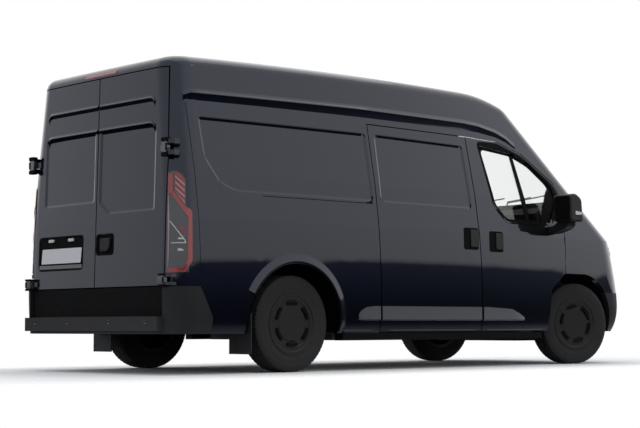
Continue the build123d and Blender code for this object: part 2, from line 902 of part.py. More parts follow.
housing_thickness = 8
housing_outer_y = 922
with BuildPart() as wheel_housings:
    for axle_x, inner_y in ((front_axle_x, 505), (rear_axle_x, rear_housing_inner_y)):
        cover = arch(axle_x, grow=housing_grow)
        bay = arch(axle_x, grow=housing_grow - housing_thickness)
        add(cover & box_between((axle_x - 900, -housing_outer_y, 285), (axle_x + 900, -inner_y, far)))
        add(
            bay & box_between((axle_x - 900, -far, 0), (axle_x + 900, -inner_y - housing_thickness, far)),
            mode=Mode.SUBTRACT,
        )
    add(cab_lining, mode=Mode.INTERSECT)
    add(box_between((front_axle_x - 280, -520, 0), (front_axle_x + 280, -500, 480)), mode=Mode.SUBTRACT)
    add(box_between((rear_axle_x - 130, -660, 0), (rear_axle_x + 130, -630, 480)), mode=Mode.SUBTRACT)
    mirror(about=Plane.XZ)
finish(wheel_housings.part, "wheel_housings")

flap_x = rear_axle_x - tyre_radius - arch_gap + 12
with BuildPart() as mud_flaps:
    for side in (-1, 1):
        with Locations((flap_x + 4, side * 845, 280)):
            Box(8, 240, 290)
        with Locations((flap_x - 12, side * 815, 417)):
            Box(80, 160, 16)
    add(arch(rear_axle_x, grow=housing_grow - housing_thickness - 0.3), mode=Mode.INTERSECT)
finish(mud_flaps.part, "mud_flaps")

# ----------------------------------------------------------------------------------------------
# Wheels
# ----------------------------------------------------------------------------------------------

bead_half = 90
flange_radius = 226
disc_radius = 192
slot_count = 6


def make_tyre():
    """A tyre about the Y axis, centred on the origin."""
    with BuildPart() as tyre:
        with BuildSketch(Plane.XY):
            with BuildLine():
                Polyline(
                    (rim_radius, -bead_half),
                    (flange_radius + 2, -bead_half),
                    (flange_radius + 18, -tyre_width / 2),
                    (tyre_radius - 48, -tyre_width / 2),
                    (tyre_radius - 16, -tyre_width / 2 + 8),
                    (tyre_radius, -tyre_width / 2 + tyre_edge_radius),
                    (tyre_radius, tyre_width / 2 - tyre_edge_radius),
                    (tyre_radius - 16, tyre_width / 2 - 8),
                    (tyre_radius - 48, tyre_width / 2),
                    (flange_radius + 18, tyre_width / 2),
                    (flange_radius + 2, bead_half),
                    (rim_radius, bead_half),
                    close=True,
                )
            make_face()
        revolve(axis=Axis.Y)
    return tyre.part


def make_rim():
    """A steel rim with its slotted cover on the -Y side and a hub bored for the spindle."""
    with BuildPart() as rim:
        with BuildSketch(Plane.XY):
            with BuildLine():
                Polyline(
                    (spindle_radius + spindle_clearance, 20),
                    (spindle_radius + spindle_clearance, -60),
                    (0, -60),
                    (0, -bead_half),
                    (128, -bead_half),
                    (134, -bead_half + 4),
                    (168, -bead_half + 4),
                    (174, -bead_half - 2),
                    (disc_radius + 6, -bead_half - 2),
                    (rim_radius, -bead_half - 7),
                    (flange_radius, -bead_half - 7),
                    (flange_radius, -bead_half),
                    (rim_radius, -bead_half),
                    (rim_radius, bead_half),
                    (flange_radius, bead_half),
                    (flange_radius, bead_half + 6),
                    (rim_radius - 8, bead_half + 6),
                    (rim_radius - 12, -bead_half + 10),
                    (75, -bead_half + 14),
                    (70, 20),
                    close=True,
                )
            make_face()
        revolve(axis=Axis.Y)
        with BuildSketch(Plane.XZ.offset(bead_half + 20)):
            with PolarLocations(0, slot_count):
                with BuildLine():
                    inner_arc = CenterArc((0, 0), 140, 11, 38)
                    outer_arc = CenterArc((0, 0), 162, 11, 38)
                    Line(inner_arc @ 0, outer_arc @ 0)
                    Line(inner_arc @ 1, outer_arc @ 1)
                make_face()
        extrude(amount=-40, mode=Mode.SUBTRACT)
    return rim.part


tyre = make_tyre()
rim = make_rim()
straight_right = Location((0, -wheel_half_track, tyre_radius))
straight_left = Location((0, wheel_half_track, tyre_radius), (0, 0, 180))
for axle_name, axle_x in (("rear", rear_axle_x), ("front", front_axle_x)):
    for side_name, place in (("right", straight_right), ("left", straight_left)):
        turned = Location()
        if axle_name == "front":
            pin_y = -kingpin_half_track if side_name == "right" else kingpin_half_track
            turned = Location((0, pin_y, 0)) * Location((0, 0, 0), (0, 0, rest_steer)) * Location((0, -pin_y, 0))
        where = Location((axle_x, 0, 0)) * turned * place
        finish(tyre.moved(where), f"tyre_{axle_name}_{side_name}")
        finish(rim.moved(where), f"rim_{axle_name}_{side_name}")

# ----------------------------------------------------------------------------------------------
# Front suspension, knuckles, rear axle and drive unit
# ----------------------------------------------------------------------------------------------

ball_pin_radius = 14
knuckle_low_z = 245
knuckle_high_z = 470
pin_depth = 30

with BuildPart() as straight_knuckle:
    with BuildSketch(Plane.XY.offset(knuckle_low_z)):
        with Locations((0, -kingpin_half_track)):
            Rectangle(90, 56)
    extrude(amount=knuckle_high_z - knuckle_low_z)
    with BuildSketch(Plane.XZ.offset(kingpin_half_track + 20)):
        with Locations((0, tyre_radius)):
            Circle(58)
    extrude(amount=95)
    with BuildSketch(Plane.XZ.offset(kingpin_half_track)):
        with Locations((0, tyre_radius)):
            Circle(spindle_radius)
    extrude(amount=wheel_half_track - kingpin_half_track + 58)
    with BuildSketch(Plane.XY.offset(knuckle_low_z)):
        with Locations((0, -kingpin_half_track)):
            Circle(ball_pin_radius + spindle_clearance)
    extrude(amount=pin_depth + 5, mode=Mode.SUBTRACT)
    with BuildSketch(Plane.XY.offset(knuckle_high_z)):
        with Locations((0, -kingpin_half_track)):
            Circle(ball_pin_radius + spindle_clearance)
    extrude(amount=-pin_depth - 5, mode=Mode.SUBTRACT)

for side_name, side in (("right", 1), ("left", -1)):
    upright = straight_knuckle.part if side == 1 else mirror(straight_knuckle.part, about=Plane.XZ)
    pin_y = -side * kingpin_half_track
    turned = Location((0, pin_y, 0)) * Location((0, 0, 0), (0, 0, rest_steer)) * Location((0, -pin_y, 0))
    finish(upright.moved(Location((front_axle_x, 0, 0)) * turned), f"knuckle_{side_name}")

with BuildPart() as front_suspension:
    for side in (-1, 1):
        arm_y = side * kingpin_half_track
        with BuildSketch(Plane.XY.offset(205)):
            with BuildLine():
                Polyline(
                    (front_axle_x - 25, arm_y),
                    (front_axle_x - 250, side * 400),
                    (front_axle_x - 160, side * 400),
                    (front_axle_x, side * 560),
                    (front_axle_x + 120, side * 400),
                    (front_axle_x + 200, side * 400),
                    (front_axle_x + 25, arm_y),
                    close=True,
                )
            make_face()
        extrude(amount=32)
        with BuildSketch(Plane.XY.offset(205)):
            with Locations((front_axle_x, arm_y)):
                Circle(30)
        extrude(amount=32)
        with BuildSketch(Plane.XY.offset(205)):
            with Locations((front_axle_x, arm_y)):
                Circle(ball_pin_radius)
        extrude(amount=knuckle_low_z - 205 + pin_depth)
        with BuildSketch(Plane.XY.offset(knuckle_high_z - pin_depth)):
            with Locations((front_axle_x, arm_y)):
                Circle(ball_pin_radius)
        extrude(amount=pin_depth + 20)
        with BuildSketch(Plane.XY.offset(knuckle_high_z + 10)):
            with Locations((front_axle_x, arm_y)):
                Circle(28)
        extrude(amount=arch_top_z + housing_grow - knuckle_high_z)
        add(box_between((front_axle_x - 300, side * 420 - 40, 200), (front_axle_x + 240, side * 420 + 40, 270)))
    add(box_between((front_axle_x - 300, -400, 200), (front_axle_x - 220, 400, 270)))
    add(box_between((front_axle_x + 160, -400, 200), (front_axle_x + 240, 400, 270)))
    add(arch(front_axle_x, grow=housing_grow - housing_thickness - 0.3), mode=Mode.INTERSECT)
finish(front_suspension.part, "front_suspension")

with BuildPart() as drive_unit:
    with Locations((front_axle_x + 60, 0, 480.2)):
        Box(*drive_unit_size)
    fillet(drive_unit.edges(), 40)
finish(drive_unit.part, "drive_unit")

with BuildPart() as rear_axle:
    with BuildSketch(Plane.XZ):
        with Locations((rear_axle_x, tyre_radius)):
            Circle(45)
    extrude(amount=740, both=True)
    with BuildSketch(Plane.XZ):
        with Locations((rear_axle_x, tyre_radius)):
            Circle(spindle_radius)
    extrude(amount=wheel_half_track + 58, both=True)
    for side in (-1, 1):
        with BuildSketch(Plane.XZ.offset(-side * spring_half_track)):
            with BuildLine():
                low = ThreePointArc((spring_rear_x, 440), (rear_axle_x, 290), (spring_front_x, 440))
                high = ThreePointArc(
                    (spring_rear_x, spring_end_z),
                    (rear_axle_x, 318),
                    (spring_front_x, spring_end_z),
                )
                Line(low @ 0, high @ 0)
                Line(low @ 1, high @ 1)
            make_face()
        extrude(amount=35, both=True)
finish(rear_axle.part, "rear_axle")
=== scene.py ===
"""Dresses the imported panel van: paint, glass, lamps, wheels, trim, cab and a plain studio.

The frame has +X forward, +Y to the van's left and +Z up, in metres, with the origin on the road
under the middle of the van.
"""

import json
import math

import bmesh
import bpy
import numpy as np
from mathutils import Matrix, Vector
from mathutils.bvhtree import BVHTree


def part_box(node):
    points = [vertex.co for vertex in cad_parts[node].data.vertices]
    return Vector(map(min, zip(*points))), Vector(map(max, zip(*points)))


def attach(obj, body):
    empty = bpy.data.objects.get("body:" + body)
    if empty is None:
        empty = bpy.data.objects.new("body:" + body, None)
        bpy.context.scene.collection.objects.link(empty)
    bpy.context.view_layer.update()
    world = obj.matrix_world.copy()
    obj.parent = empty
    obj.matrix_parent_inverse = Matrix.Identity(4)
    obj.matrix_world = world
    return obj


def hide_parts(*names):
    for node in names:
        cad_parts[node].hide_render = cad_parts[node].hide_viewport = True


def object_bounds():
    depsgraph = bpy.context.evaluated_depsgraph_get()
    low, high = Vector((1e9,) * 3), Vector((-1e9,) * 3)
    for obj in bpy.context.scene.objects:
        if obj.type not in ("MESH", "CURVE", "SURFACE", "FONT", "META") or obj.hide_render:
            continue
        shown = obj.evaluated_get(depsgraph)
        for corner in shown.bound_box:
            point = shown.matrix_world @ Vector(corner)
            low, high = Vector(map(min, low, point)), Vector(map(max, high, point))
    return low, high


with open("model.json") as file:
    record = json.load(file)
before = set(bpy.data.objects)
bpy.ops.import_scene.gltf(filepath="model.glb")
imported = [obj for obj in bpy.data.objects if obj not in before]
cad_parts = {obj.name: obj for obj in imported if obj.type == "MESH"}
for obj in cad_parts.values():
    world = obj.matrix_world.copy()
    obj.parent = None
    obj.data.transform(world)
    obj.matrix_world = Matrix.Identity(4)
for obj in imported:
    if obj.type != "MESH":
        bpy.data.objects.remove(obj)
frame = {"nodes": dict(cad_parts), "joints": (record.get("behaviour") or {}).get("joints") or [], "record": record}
cad_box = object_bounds()

bl_info = {
    "name": "Panel van dresser",
    "version": (1, 0, 0),
    "blender": (4, 5, 0),
    "location": "3D View > Sidebar > Panel Van",
    "description": "Finishes, wheels, lamps, trim and cab of a panel van around its packed model",
    "category": "Object",
}

NODES = frame["nodes"]
PANEL_OUT = 0.9  # where a fold goes on when it has no skin under it
FAR = 4  # a ray starts this far out, outside the van on every side
WHEELS = [joint for joint in frame["joints"] if joint["name"].startswith("wheel_")]


# ---------------------------------------------------------------------------------------------
# Settings
# ---------------------------------------------------------------------------------------------


def colour_setting(name, description, default):
    """A colour that a user may change."""
    return bpy.props.FloatVectorProperty(
        name=name, description=description, default=default, subtype="COLOR", size=3, min=0, max=1
    )


def length_setting(name, description, default):
    """A length that a user may change."""
    return bpy.props.FloatProperty(
        name=name, description=description, default=default, subtype="DISTANCE", unit="LENGTH"
    )


class FinishSettings(bpy.types.PropertyGroup):
    """Colours of the van's finishes."""

    paint: colour_setting("Paint", "Base colour under the clear coat", (0.0115, 0.0142, 0.0275))
    plastic: colour_setting("Plastic", "Moulded bumpers, mirrors and flaps", (0.009, 0.0095, 0.011))
    gloss: colour_setting("Gloss black", "Handles, seals and lamp frames", (0.004, 0.004, 0.005))
    red_lens: colour_setting("Red lens", "Tail lamp light guides", (0.42, 0.035, 0.035))
    lamp_dark: colour_setting("Lamp bowl", "Inside of the tail lamps", (0.055, 0.058, 0.062))
    rubber: colour_setting("Rubber", "Tyres", (0.026, 0.026, 0.027))
    cover: colour_setting("Wheel cover", "Wheel covers and rims", (0.011, 0.0113, 0.0122))
    cloth: colour_setting("Woven cloth", "Woven seat covers", (0.030, 0.032, 0.036))
    plate: colour_setting("Number plate", "Blank number plates", (0.86, 0.86, 0.88))


class WheelSettings(bpy.types.PropertyGroup):
    """Sizes of the dressed wheels."""

    tread_depth: length_setting("Tread depth", "Depth of the tyre's grooves", 0.007)
    tread_blocks: bpy.props.IntProperty(
        name="Tread blocks", description="Blocks round the tyre", default=66, min=12, max=120
    )
    slots: bpy.props.IntProperty(
        name="Cover slots", description="Vent slots in a wheel cover", default=6, min=3, max=12
    )


class StageSettings(bpy.types.PropertyGroup):
    """The camera, the floor and the light."""

    lens: bpy.props.FloatProperty(
        name="Focal length", description="Camera focal length", default=85.51, unit="CAMERA"
    )
    camera_place: bpy.props.FloatVectorProperty(
        name="Camera place",
        description="Where the camera stands",
        default=(-8.85926, -9.13710, 0.33224),
        subtype="TRANSLATION",
        unit="LENGTH",
    )
    heading: bpy.props.FloatProperty(
        name="Heading",
        description="Camera heading from +X towards +Y",
        default=math.radians(47.0698),
        subtype="ANGLE",
    )
    pitch: bpy.props.FloatProperty(
        name="Pitch",
        description="Camera pitch upwards",
        default=math.radians(4.2174),
        subtype="ANGLE",
    )
    roll: bpy.props.FloatProperty(
        name="Roll", description="Camera roll", default=math.radians(-0.1347), subtype="ANGLE"
    )
    sky: bpy.props.FloatProperty(
        name="Sky strength", description="Brightness of the studio's white sky", default=0.92, min=0
    )
    floor_margin: length_setting("Floor margin", "Floor past the van on each side", 1.1)


# ---------------------------------------------------------------------------------------------
# Mesh helpers
# ---------------------------------------------------------------------------------------------


def new_object(name, mesh):
    """Put a mesh in the scene as an object."""
    made = bpy.data.objects.new(name, mesh)
    bpy.context.scene.collection.objects.link(made)
    return made


def mesh_from(name, points, faces, sharp=30):
    """An object from points and faces, smooth except across edges sharper than an angle."""
    mesh = bpy.data.meshes.new(name)
    mesh.from_pydata([tuple(p) for p in points], [], [tuple(f) for f in faces])
    mesh.validate()
    mesh.polygons.foreach_set("use_smooth", [True] * len(mesh.polygons))
    mesh.set_sharp_from_angle(angle=math.radians(sharp))
    mesh.update()
    return new_object(name, mesh)


def from_bmesh(name, bm, sharp):
    """An object from a bmesh, which is freed; its faces keep their sides."""
    mesh = bpy.data.meshes.new(name)
    bm.to_mesh(mesh)
    bm.free()
    mesh.polygons.foreach_set("use_smooth", [True] * len(mesh.polygons))
    mesh.set_sharp_from_angle(angle=math.radians(sharp))
    return new_object(name, mesh)


def ring_faces(segments, rows):
    """The faces of a closed ring of profiles, each with a number of rows."""
    faces = []
    for k in range(segments):
        for row in range(rows - 1):
            a = k * rows + row
            b = (k + 1) % segments * rows + row
            faces.append((a, b, b + 1, a + 1))
    return faces


def face_outwards(piece, outward):
    """Turn a surface over if, on the whole, it faces away from a direction."""
    if sum(face.normal.dot(outward) * face.area for face in piece.data.polygons) < 0:
        piece.data.flip_normals()
    return piece


def dress(piece, body, material):
    """Give a piece its material and slot, and let it ride on a body."""
    piece.data.materials.clear()
    piece.data.materials.append(material)
    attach(piece, body)
    return piece


def join(name, pieces):
    """Join several pieces into one object with a new name."""
    first = pieces[0]
    with bpy.context.temp_override(
        active_object=first, object=first, selected_objects=pieces, selected_editable_objects=pieces
    ):
        bpy.ops.object.join()
    first.name = name
    first.data.name = name
    return first


def apply_modifiers(piece):
    """Replace a piece's mesh by what its modifiers make of it."""
    bpy.context.view_layer.update()
    shaped = piece.evaluated_get(bpy.context.evaluated_depsgraph_get())
    mesh = bpy.data.meshes.new_from_object(shaped)
    piece.modifiers.clear()
    piece.data = mesh
    return piece


def rounded(piece, width, segments=3, angle=30):
    """Round a piece's edges."""
    bevel = piece.modifiers.new("round", "BEVEL")
    bevel.width = width
    bevel.segments = segments
    bevel.limit_method = "ANGLE"
    bevel.angle_limit = math.radians(angle)
    bevel.harden_normals = True
    return apply_modifiers(piece)


def slab(name, outline, depth, place=Matrix.Identity(4), edge=0.0, segments=3):
    """A plate: an outline in its plane's X and Y, extruded along Z, with rounded edges."""
    count = len(outline)
    points = [place @ Vector((x, y, z)) for z in (0, depth) for x, y in outline]
    faces = [list(range(count - 1, -1, -1)), list(range(count, 2 * count))]
    faces += [(i, (i + 1) % count, count + (i + 1) % count, count + i) for i in range(count)]
    piece = mesh_from(name, points, faces)
    if edge:
        rounded(piece, edge, segments)
    return piece


def round_outline(low, high, radius, steps=6):
    """A rectangle with rounded corners, as a list of points."""
    outline = []
    corners = [
        (high[0] - radius, high[1] - radius, 0),
        (low[0] + radius, high[1] - radius, 90),
        (low[0] + radius, low[1] + radius, 180),
        (high[0] - radius, low[1] + radius, 270),
    ]
    for x, y, start in corners:
        for i in range(steps + 1):
            angle = math.radians(start + 90 * i / steps)
            outline.append((x + radius * math.cos(angle), y + radius * math.sin(angle)))
    return outline


def smooth_corners(points, radius, steps=5):
    """An outline with each corner rounded by a short curve."""
    outline = []
    count = len(points)
    for i in range(count):
        before = Vector(points[i - 1])
        here = Vector(points[i])
        after = Vector(points[(i + 1) % count])
        reach = min(radius, (before - here).length * 0.45, (after - here).length * 0.45)
        start = here + (before - here).normalized() * reach
        end = here + (after - here).normalized() * reach
        for k in range(steps + 1):
            t = k / steps
            outline.append(tuple(start * (1 - t) ** 2 + here * 2 * t * (1 - t) + end * t * t))
    return outline


def lathe(name, profile, centre, axis, segments=128, sharp=35):
    """Revolve a profile of (distance along the axis, radius) points about an axis."""
    turn = Vector((0, 0, 1)).rotation_difference(Vector(axis)).to_matrix()
    points = []
    for k in range(segments):
        angle = math.tau * k / segments
        for along, radius in profile:
            spot = Vector((radius * math.cos(angle), radius * math.sin(angle), along))
            points.append(Vector(centre) + turn @ spot)
    return mesh_from(name, points, ring_faces(segments, len(profile)), sharp)


def tube(name, route, radius, sides=12, closed=False):
    """A round bar along a route."""
    curve = bpy.data.curves.new(name, "CURVE")
    curve.dimensions = "3D"
    curve.bevel_depth = radius
    curve.bevel_resolution = max(0, sides // 4 - 1)
    curve.use_fill_caps = True
    spline = curve.splines.new("POLY")
    spline.points.add(len(route) - 1)
    for point, place in zip(spline.points, route):
        point.co = (*place, 1)
    spline.use_cyclic_u = closed
    shape = bpy.data.objects.new(name, curve)
    bpy.context.scene.collection.objects.link(shape)
    bpy.context.view_layer.update()
    mesh = bpy.data.meshes.new_from_object(
        shape.evaluated_get(bpy.context.evaluated_depsgraph_get())
    )
    bpy.data.objects.remove(shape)
    mesh.polygons.foreach_set("use_smooth", [True] * len(mesh.polygons))
    mesh.set_sharp_from_angle(angle=math.radians(40))
    return new_object(name, mesh)


def flipped(piece, name):
    """A mirror image of a piece across the van's middle, as a new object."""
    mesh = piece.data.copy()
    mesh.transform(Matrix.Scale(-1, 4, (0, 1, 0)))
    mesh.flip_normals()
    return new_object(name, mesh)


class Skin:
    """The outer skin of some CAD nodes, to lay pieces on."""

    def __init__(self, *names):
        points = []
        faces = []
        for name in names:
            mesh = NODES[name].data
            start = len(points)
            points += [v.co.copy() for v in mesh.vertices]
            faces += [[start + i for i in p.vertices] for p in mesh.polygons]
        self.tree = BVHTree.FromPolygons(points, faces)

    def hit(self, origin, direction):
        """The place and normal where a ray first meets the skin."""
        place, normal, _, _ = self.tree.ray_cast(Vector(origin), Vector(direction))
        return place, normal


VIEWS = {
    "right": (Vector((0, -1, 0)), Vector((1, 0, 0))),
    "left": (Vector((0, 1, 0)), Vector((1, 0, 0))),
    "rear": (Vector((-1, 0, 0)), Vector((0, 1, 0))),
    "front": (Vector((1, 0, 0)), Vector((0, 1, 0))),
    "rear corner": (Vector((-0.608, -0.794, 0)), Vector((0.794, -0.608, 0))),
    "front corner": (Vector((0.9, -0.436, 0)), Vector((0.436, 0.9, 0))),
}


def cut_into_cells(bm, outline, cell):
    """Cut a flat mesh into cells no larger than a size, so it can follow a curved skin."""
    lows = [min(p[k] for p in outline) for k in (0, 1)]
    highs = [max(p[k] for p in outline) for k in (0, 1)]
    for k in (0, 1):
        count = max(1, math.ceil((highs[k] - lows[k]) / cell))
        normal = [0, 0, 0]
        normal[k] = 1
        for i in range(1, count):
            place = [0, 0, 0]
            place[k] = lows[k] + (highs[k] - lows[k]) * i / count
            geometry = bm.verts[:] + bm.edges[:] + bm.faces[:]
            bmesh.ops.bisect_plane(bm, geom=geometry, plane_co=place, plane_no=normal)


def skin_patch(name, skin, outline, view, lift, depth, cell=0.03, sharp=35, hole=None):
    """A plate that follows the skin: an outline seen along a view, lifted off and with a depth.

    The outline's first coordinate runs across the view and its second is the height.
    """
    outward, across = VIEWS[view]
    bm = bmesh.new()
    loops = [[bm.verts.new((a, b, 0)) for a, b in ring] for ring in (outline, hole) if ring]
    if hole:
        edges = [
            bm.edges.new((ring[i - 1], ring[i])) for ring in loops for i in range(len(ring))
        ]
        bmesh.ops.triangle_fill(bm, edges=edges, use_beauty=True, use_dissolve=False)
    else:
        bm.faces.new(loops[0])
    cut_into_cells(bm, outline, cell)
    missed = []
    depths = []
    for vertex in bm.verts:
        start = across * vertex.co.x + Vector((0, 0, vertex.co.y)) + outward * FAR
        place, normal = skin.hit(start, -outward)
        if place is None:
            missed.append((vertex, start))
            continue
        if normal.dot(outward) < 0:
            normal = -normal
        depths.append(place.dot(outward))
        vertex.co = place + normal * lift
    middle = sorted(depths)[len(depths) // 2]
    for vertex, start in missed:
        vertex.co = start + outward * (middle - start.dot(outward) + lift)
    bmesh.ops.recalc_face_normals(bm, faces=bm.faces)
    if sum(face.normal.dot(outward) * face.calc_area() for face in bm.faces) < 0:
        bmesh.ops.reverse_faces(bm, faces=bm.faces)
    piece = from_bmesh(name, bm, sharp)
    if depth:
        thick = piece.modifiers.new("thick", "SOLIDIFY")
        thick.thickness = depth
        thick.offset = 1
        apply_modifiers(piece)
        piece.data.polygons.foreach_set("use_smooth", [True] * len(piece.data.polygons))
        piece.data.set_sharp_from_angle(angle=math.radians(sharp))
    return piece


def inset(outline, width):
    """An outline moved inwards by a width."""
    count = len(outline)
    area = sum(
        outline[i - 1][0] * outline[i][1] - outline[i][0] * outline[i - 1][1] for i in range(count)
    )
    turn = 1 if area > 0 else -1
    moved = []
    for i in range(count):
        before = Vector(outline[i - 1])
        here = Vector(outline[i])
        after = Vector(outline[(i + 1) % count])
        first = (here - before).normalized()
        second = (after - here).normalized()
        normal = Vector((-first.y - second.y, first.x + second.x)).normalized() * turn
        share = max(0.35, normal.dot(Vector((-first.y, first.x)) * turn))
        moved.append(tuple(here + normal * width / share))
    return moved


def evenly(outline, spacing):
    """A closed outline's points spaced evenly."""
    points = [Vector(p) for p in outline]
    result = []
    for i in range(len(points)):
        start, end = points[i], points[(i + 1) % len(points)]
        count = max(1, round((end - start).length / spacing))
        result += [tuple(start.lerp(end, k / count)) for k in range(count)]
    return result


def rolled_edge(name, skin, outline, view, out=0.005, into=0.020, lift=0.0005):
    """The soft rolled edge round a pressing, from the panel down to the pressing's floor."""
    outward, across = VIEWS[view]
    steps = 6
    outer = inset(outline, -out)
    inner = inset(outline, into)
    rings = []
    for far_point, near_point in zip(outer, inner):
        ends = []
        for a, b in (far_point, near_point):
            start = across * a + Vector((0, 0, b)) + outward * FAR
            ends.append(skin.hit(start, -outward)[0])
        if None in ends or abs((ends[0] - ends[1]).dot(outward)) > 0.03:
            rings.append(None)
            continue
        row = []
        for k in range(steps + 1):
            t = k / steps
            ease = t * t * (3 - 2 * t)
            flat = ends[0].lerp(ends[1], t)
            depth = (ends[0] - ends[1]).dot(outward)
            row.append(flat + outward * (depth * (t - ease) + lift))
        rings.append(row)
    points = []
    faces = []
    starts = []
    for row in rings:
        starts.append(None if row is None else len(points))
        points += row or []
    count = len(rings)
    for i in range(count):
        a, b = starts[i], starts[(i + 1) % count]
        if a is None or b is None:
            continue
        faces += [(a + k, b + k, b + k + 1, a + k + 1) for k in range(steps)]
    return face_outwards(mesh_from(name, points, faces, 60), outward)


def band_of(name, rows, outward, sharp=40):
    """A surface through rows of points, facing outwards."""
    width = len(rows[0])
    points = [p for row in rows for p in row]
    faces = [
        (i * width + k, (i + 1) * width + k, (i + 1) * width + k + 1, i * width + k + 1)
        for i in range(len(rows) - 1)
        for k in range(width - 1)
    ]
    return face_outwards(mesh_from(name, points, faces, sharp), outward)


def fold(name, skin, stations, view, proud, faces_down, blend=0.035, spacing=0.06):
    """A long fold standing proud of the skin, with a face that looks down or up.

    Each station is a place along the fold and the low and high edges of that face.
    """
    outward, across = VIEWS[view]
    fine = [stations[0]]
    for start, end in zip(stations, stations[1:]):
        count = max(1, round(abs(end[0] - start[0]) / spacing))
        fine += [
            tuple(a + (b - a) * i / count for a, b in zip(start, end)) for i in range(1, count + 1)
        ]
    rows = []
    for along, low, high in fine:
        tall = high - low
        out = min(proud, 0.28 * tall)
        if faces_down:
            section = [
                (high + blend, 0),
                (high + blend * 0.4, out * 0.45),
                (high + 0.004, out * 0.94),
                (high, out),
                (high - 0.003, out * 0.92),
                (low, 0),
            ]
        else:
            section = [(high, 0), (low + 0.004, out * 0.92), (low, out), (low - 0.004, out * 0.8),
                       (low - blend * 0.35, 0)]
        row = []
        for height, lift in section:
            start = across * along + Vector((0, 0, height)) + outward * FAR
            place, _ = skin.hit(start, -outward)
            if place is None:
                place = start - outward * (FAR - PANEL_OUT)
            row.append(place + outward * (lift + 0.0004))
        rows.append(row)
    return band_of(name, rows, outward, 24)


def both_sides(piece, bodies, material):
    """Dress a right-hand piece and its mirror image on the left."""
    left = flipped(piece, piece.name.replace("_right", "_left"))
    dress(piece, bodies[0], material)
    dress(left, bodies[1], material)
    return piece, left


# ---------------------------------------------------------------------------------------------
# Materials
# ---------------------------------------------------------------------------------------------


def group_tree(name, inputs, outputs):
    """An empty shader node group with its sockets, and its input and output nodes."""
    tree = bpy.data.node_groups.new(name, "ShaderNodeTree")
    for label, kind, default in inputs:
        socket = tree.interface.new_socket(label, in_out="INPUT", socket_type=kind)
        if default is not None:
            socket.default_value = default
    for label, kind in outputs:
        tree.interface.new_socket(label, in_out="OUTPUT", socket_type=kind)
    source = tree.nodes.new("NodeGroupInput")
    sink = tree.nodes.new("NodeGroupOutput")
    return tree, source, sink


def math_node(tree, operation, a, b=None):
    """A math node fed by sockets or numbers."""
    node = tree.nodes.new("ShaderNodeMath")
    node.operation = operation
    for i, value in enumerate((a, b)):
        if value is None:
            continue
        if isinstance(value, (int, float)):
            node.inputs[i].default_value = value
        else:
            tree.links.new(value, node.inputs[i])
    return node.outputs[0]


def ramp(tree, factor, stops):
    """A colour ramp of (position, grey value) stops."""
    node = tree.nodes.new("ShaderNodeValToRGB")
    elements = node.color_ramp.elements
    while len(elements) < len(stops):
        elements.new(0.5)
    for element, (position, value) in zip(elements, stops):
        element.position = position
        element.color = (value, value, value, 1)
    tree.links.new(factor, node.inputs[0])
    return node.outputs[0]


def noise(tree, coordinates, scale, detail=3.0, roughness=0.5):
    """A noise texture's value."""
    node = tree.nodes.new("ShaderNodeTexNoise")
    node.inputs["Detail"].default_value = detail
    node.inputs["Roughness"].default_value = roughness
    if isinstance(scale, (int, float)):
        node.inputs["Scale"].default_value = scale
    else:
        tree.links.new(scale, node.inputs["Scale"])
    tree.links.new(coordinates, node.inputs["Vector"])
    return node.outputs["Fac"]


def build_road_dust():
    """Fine dust that thins out upwards from the road, as a mask."""
    tree, source, sink = group_tree(
        "Road dust",
        [("Height", "NodeSocketFloat", 0.6), ("Amount", "NodeSocketFloat", 0.2)],
        [("Mask", "NodeSocketFloat")],
    )
    place = tree.nodes.new("ShaderNodeTexCoord").outputs["Object"]
    split = tree.nodes.new("ShaderNodeSeparateXYZ")
    tree.links.new(place, split.inputs[0])
    fade = math_node(tree, "DIVIDE", split.outputs["Z"], source.outputs["Height"])
    low = math_node(tree, "SUBTRACT", 1.0, fade)
    low = math_node(tree, "MAXIMUM", low, 0.0)
    patches = ramp(tree, noise(tree, place, 9.0, 6.0, 0.65), [(0.35, 0.15), (0.75, 1.0)])
    specks = ramp(tree, noise(tree, place, 160.0, 2.0), [(0.4, 0.5), (0.62, 1.0)])
    mask = math_node(tree, "MULTIPLY", low, patches)
    mask = math_node(tree, "MULTIPLY", mask, specks)
    mask = math_node(tree, "MULTIPLY", mask, source.outputs["Amount"])
    tree.links.new(mask, sink.inputs["Mask"])
    return tree


def build_fine_grain():
    """The fine leathery grain of moulded plastic, as a height and a mask."""
    tree, source, sink = group_tree(
        "Moulded grain",
        [("Scale", "NodeSocketFloat", 900.0)],
        [("Height", "NodeSocketFloat"), ("Mottle", "NodeSocketFloat")],
    )
    place = tree.nodes.new("ShaderNodeTexCoord").outputs["Object"]
    cells = tree.nodes.new("ShaderNodeTexVoronoi")
    cells.feature = "SMOOTH_F1"
    tree.links.new(place, cells.inputs["Vector"])
    tree.links.new(source.outputs["Scale"], cells.inputs["Scale"])
    tree.links.new(cells.outputs["Distance"], sink.inputs["Height"])
    tree.links.new(noise(tree, place, 14.0, 4.0), sink.inputs["Mottle"])
    return tree


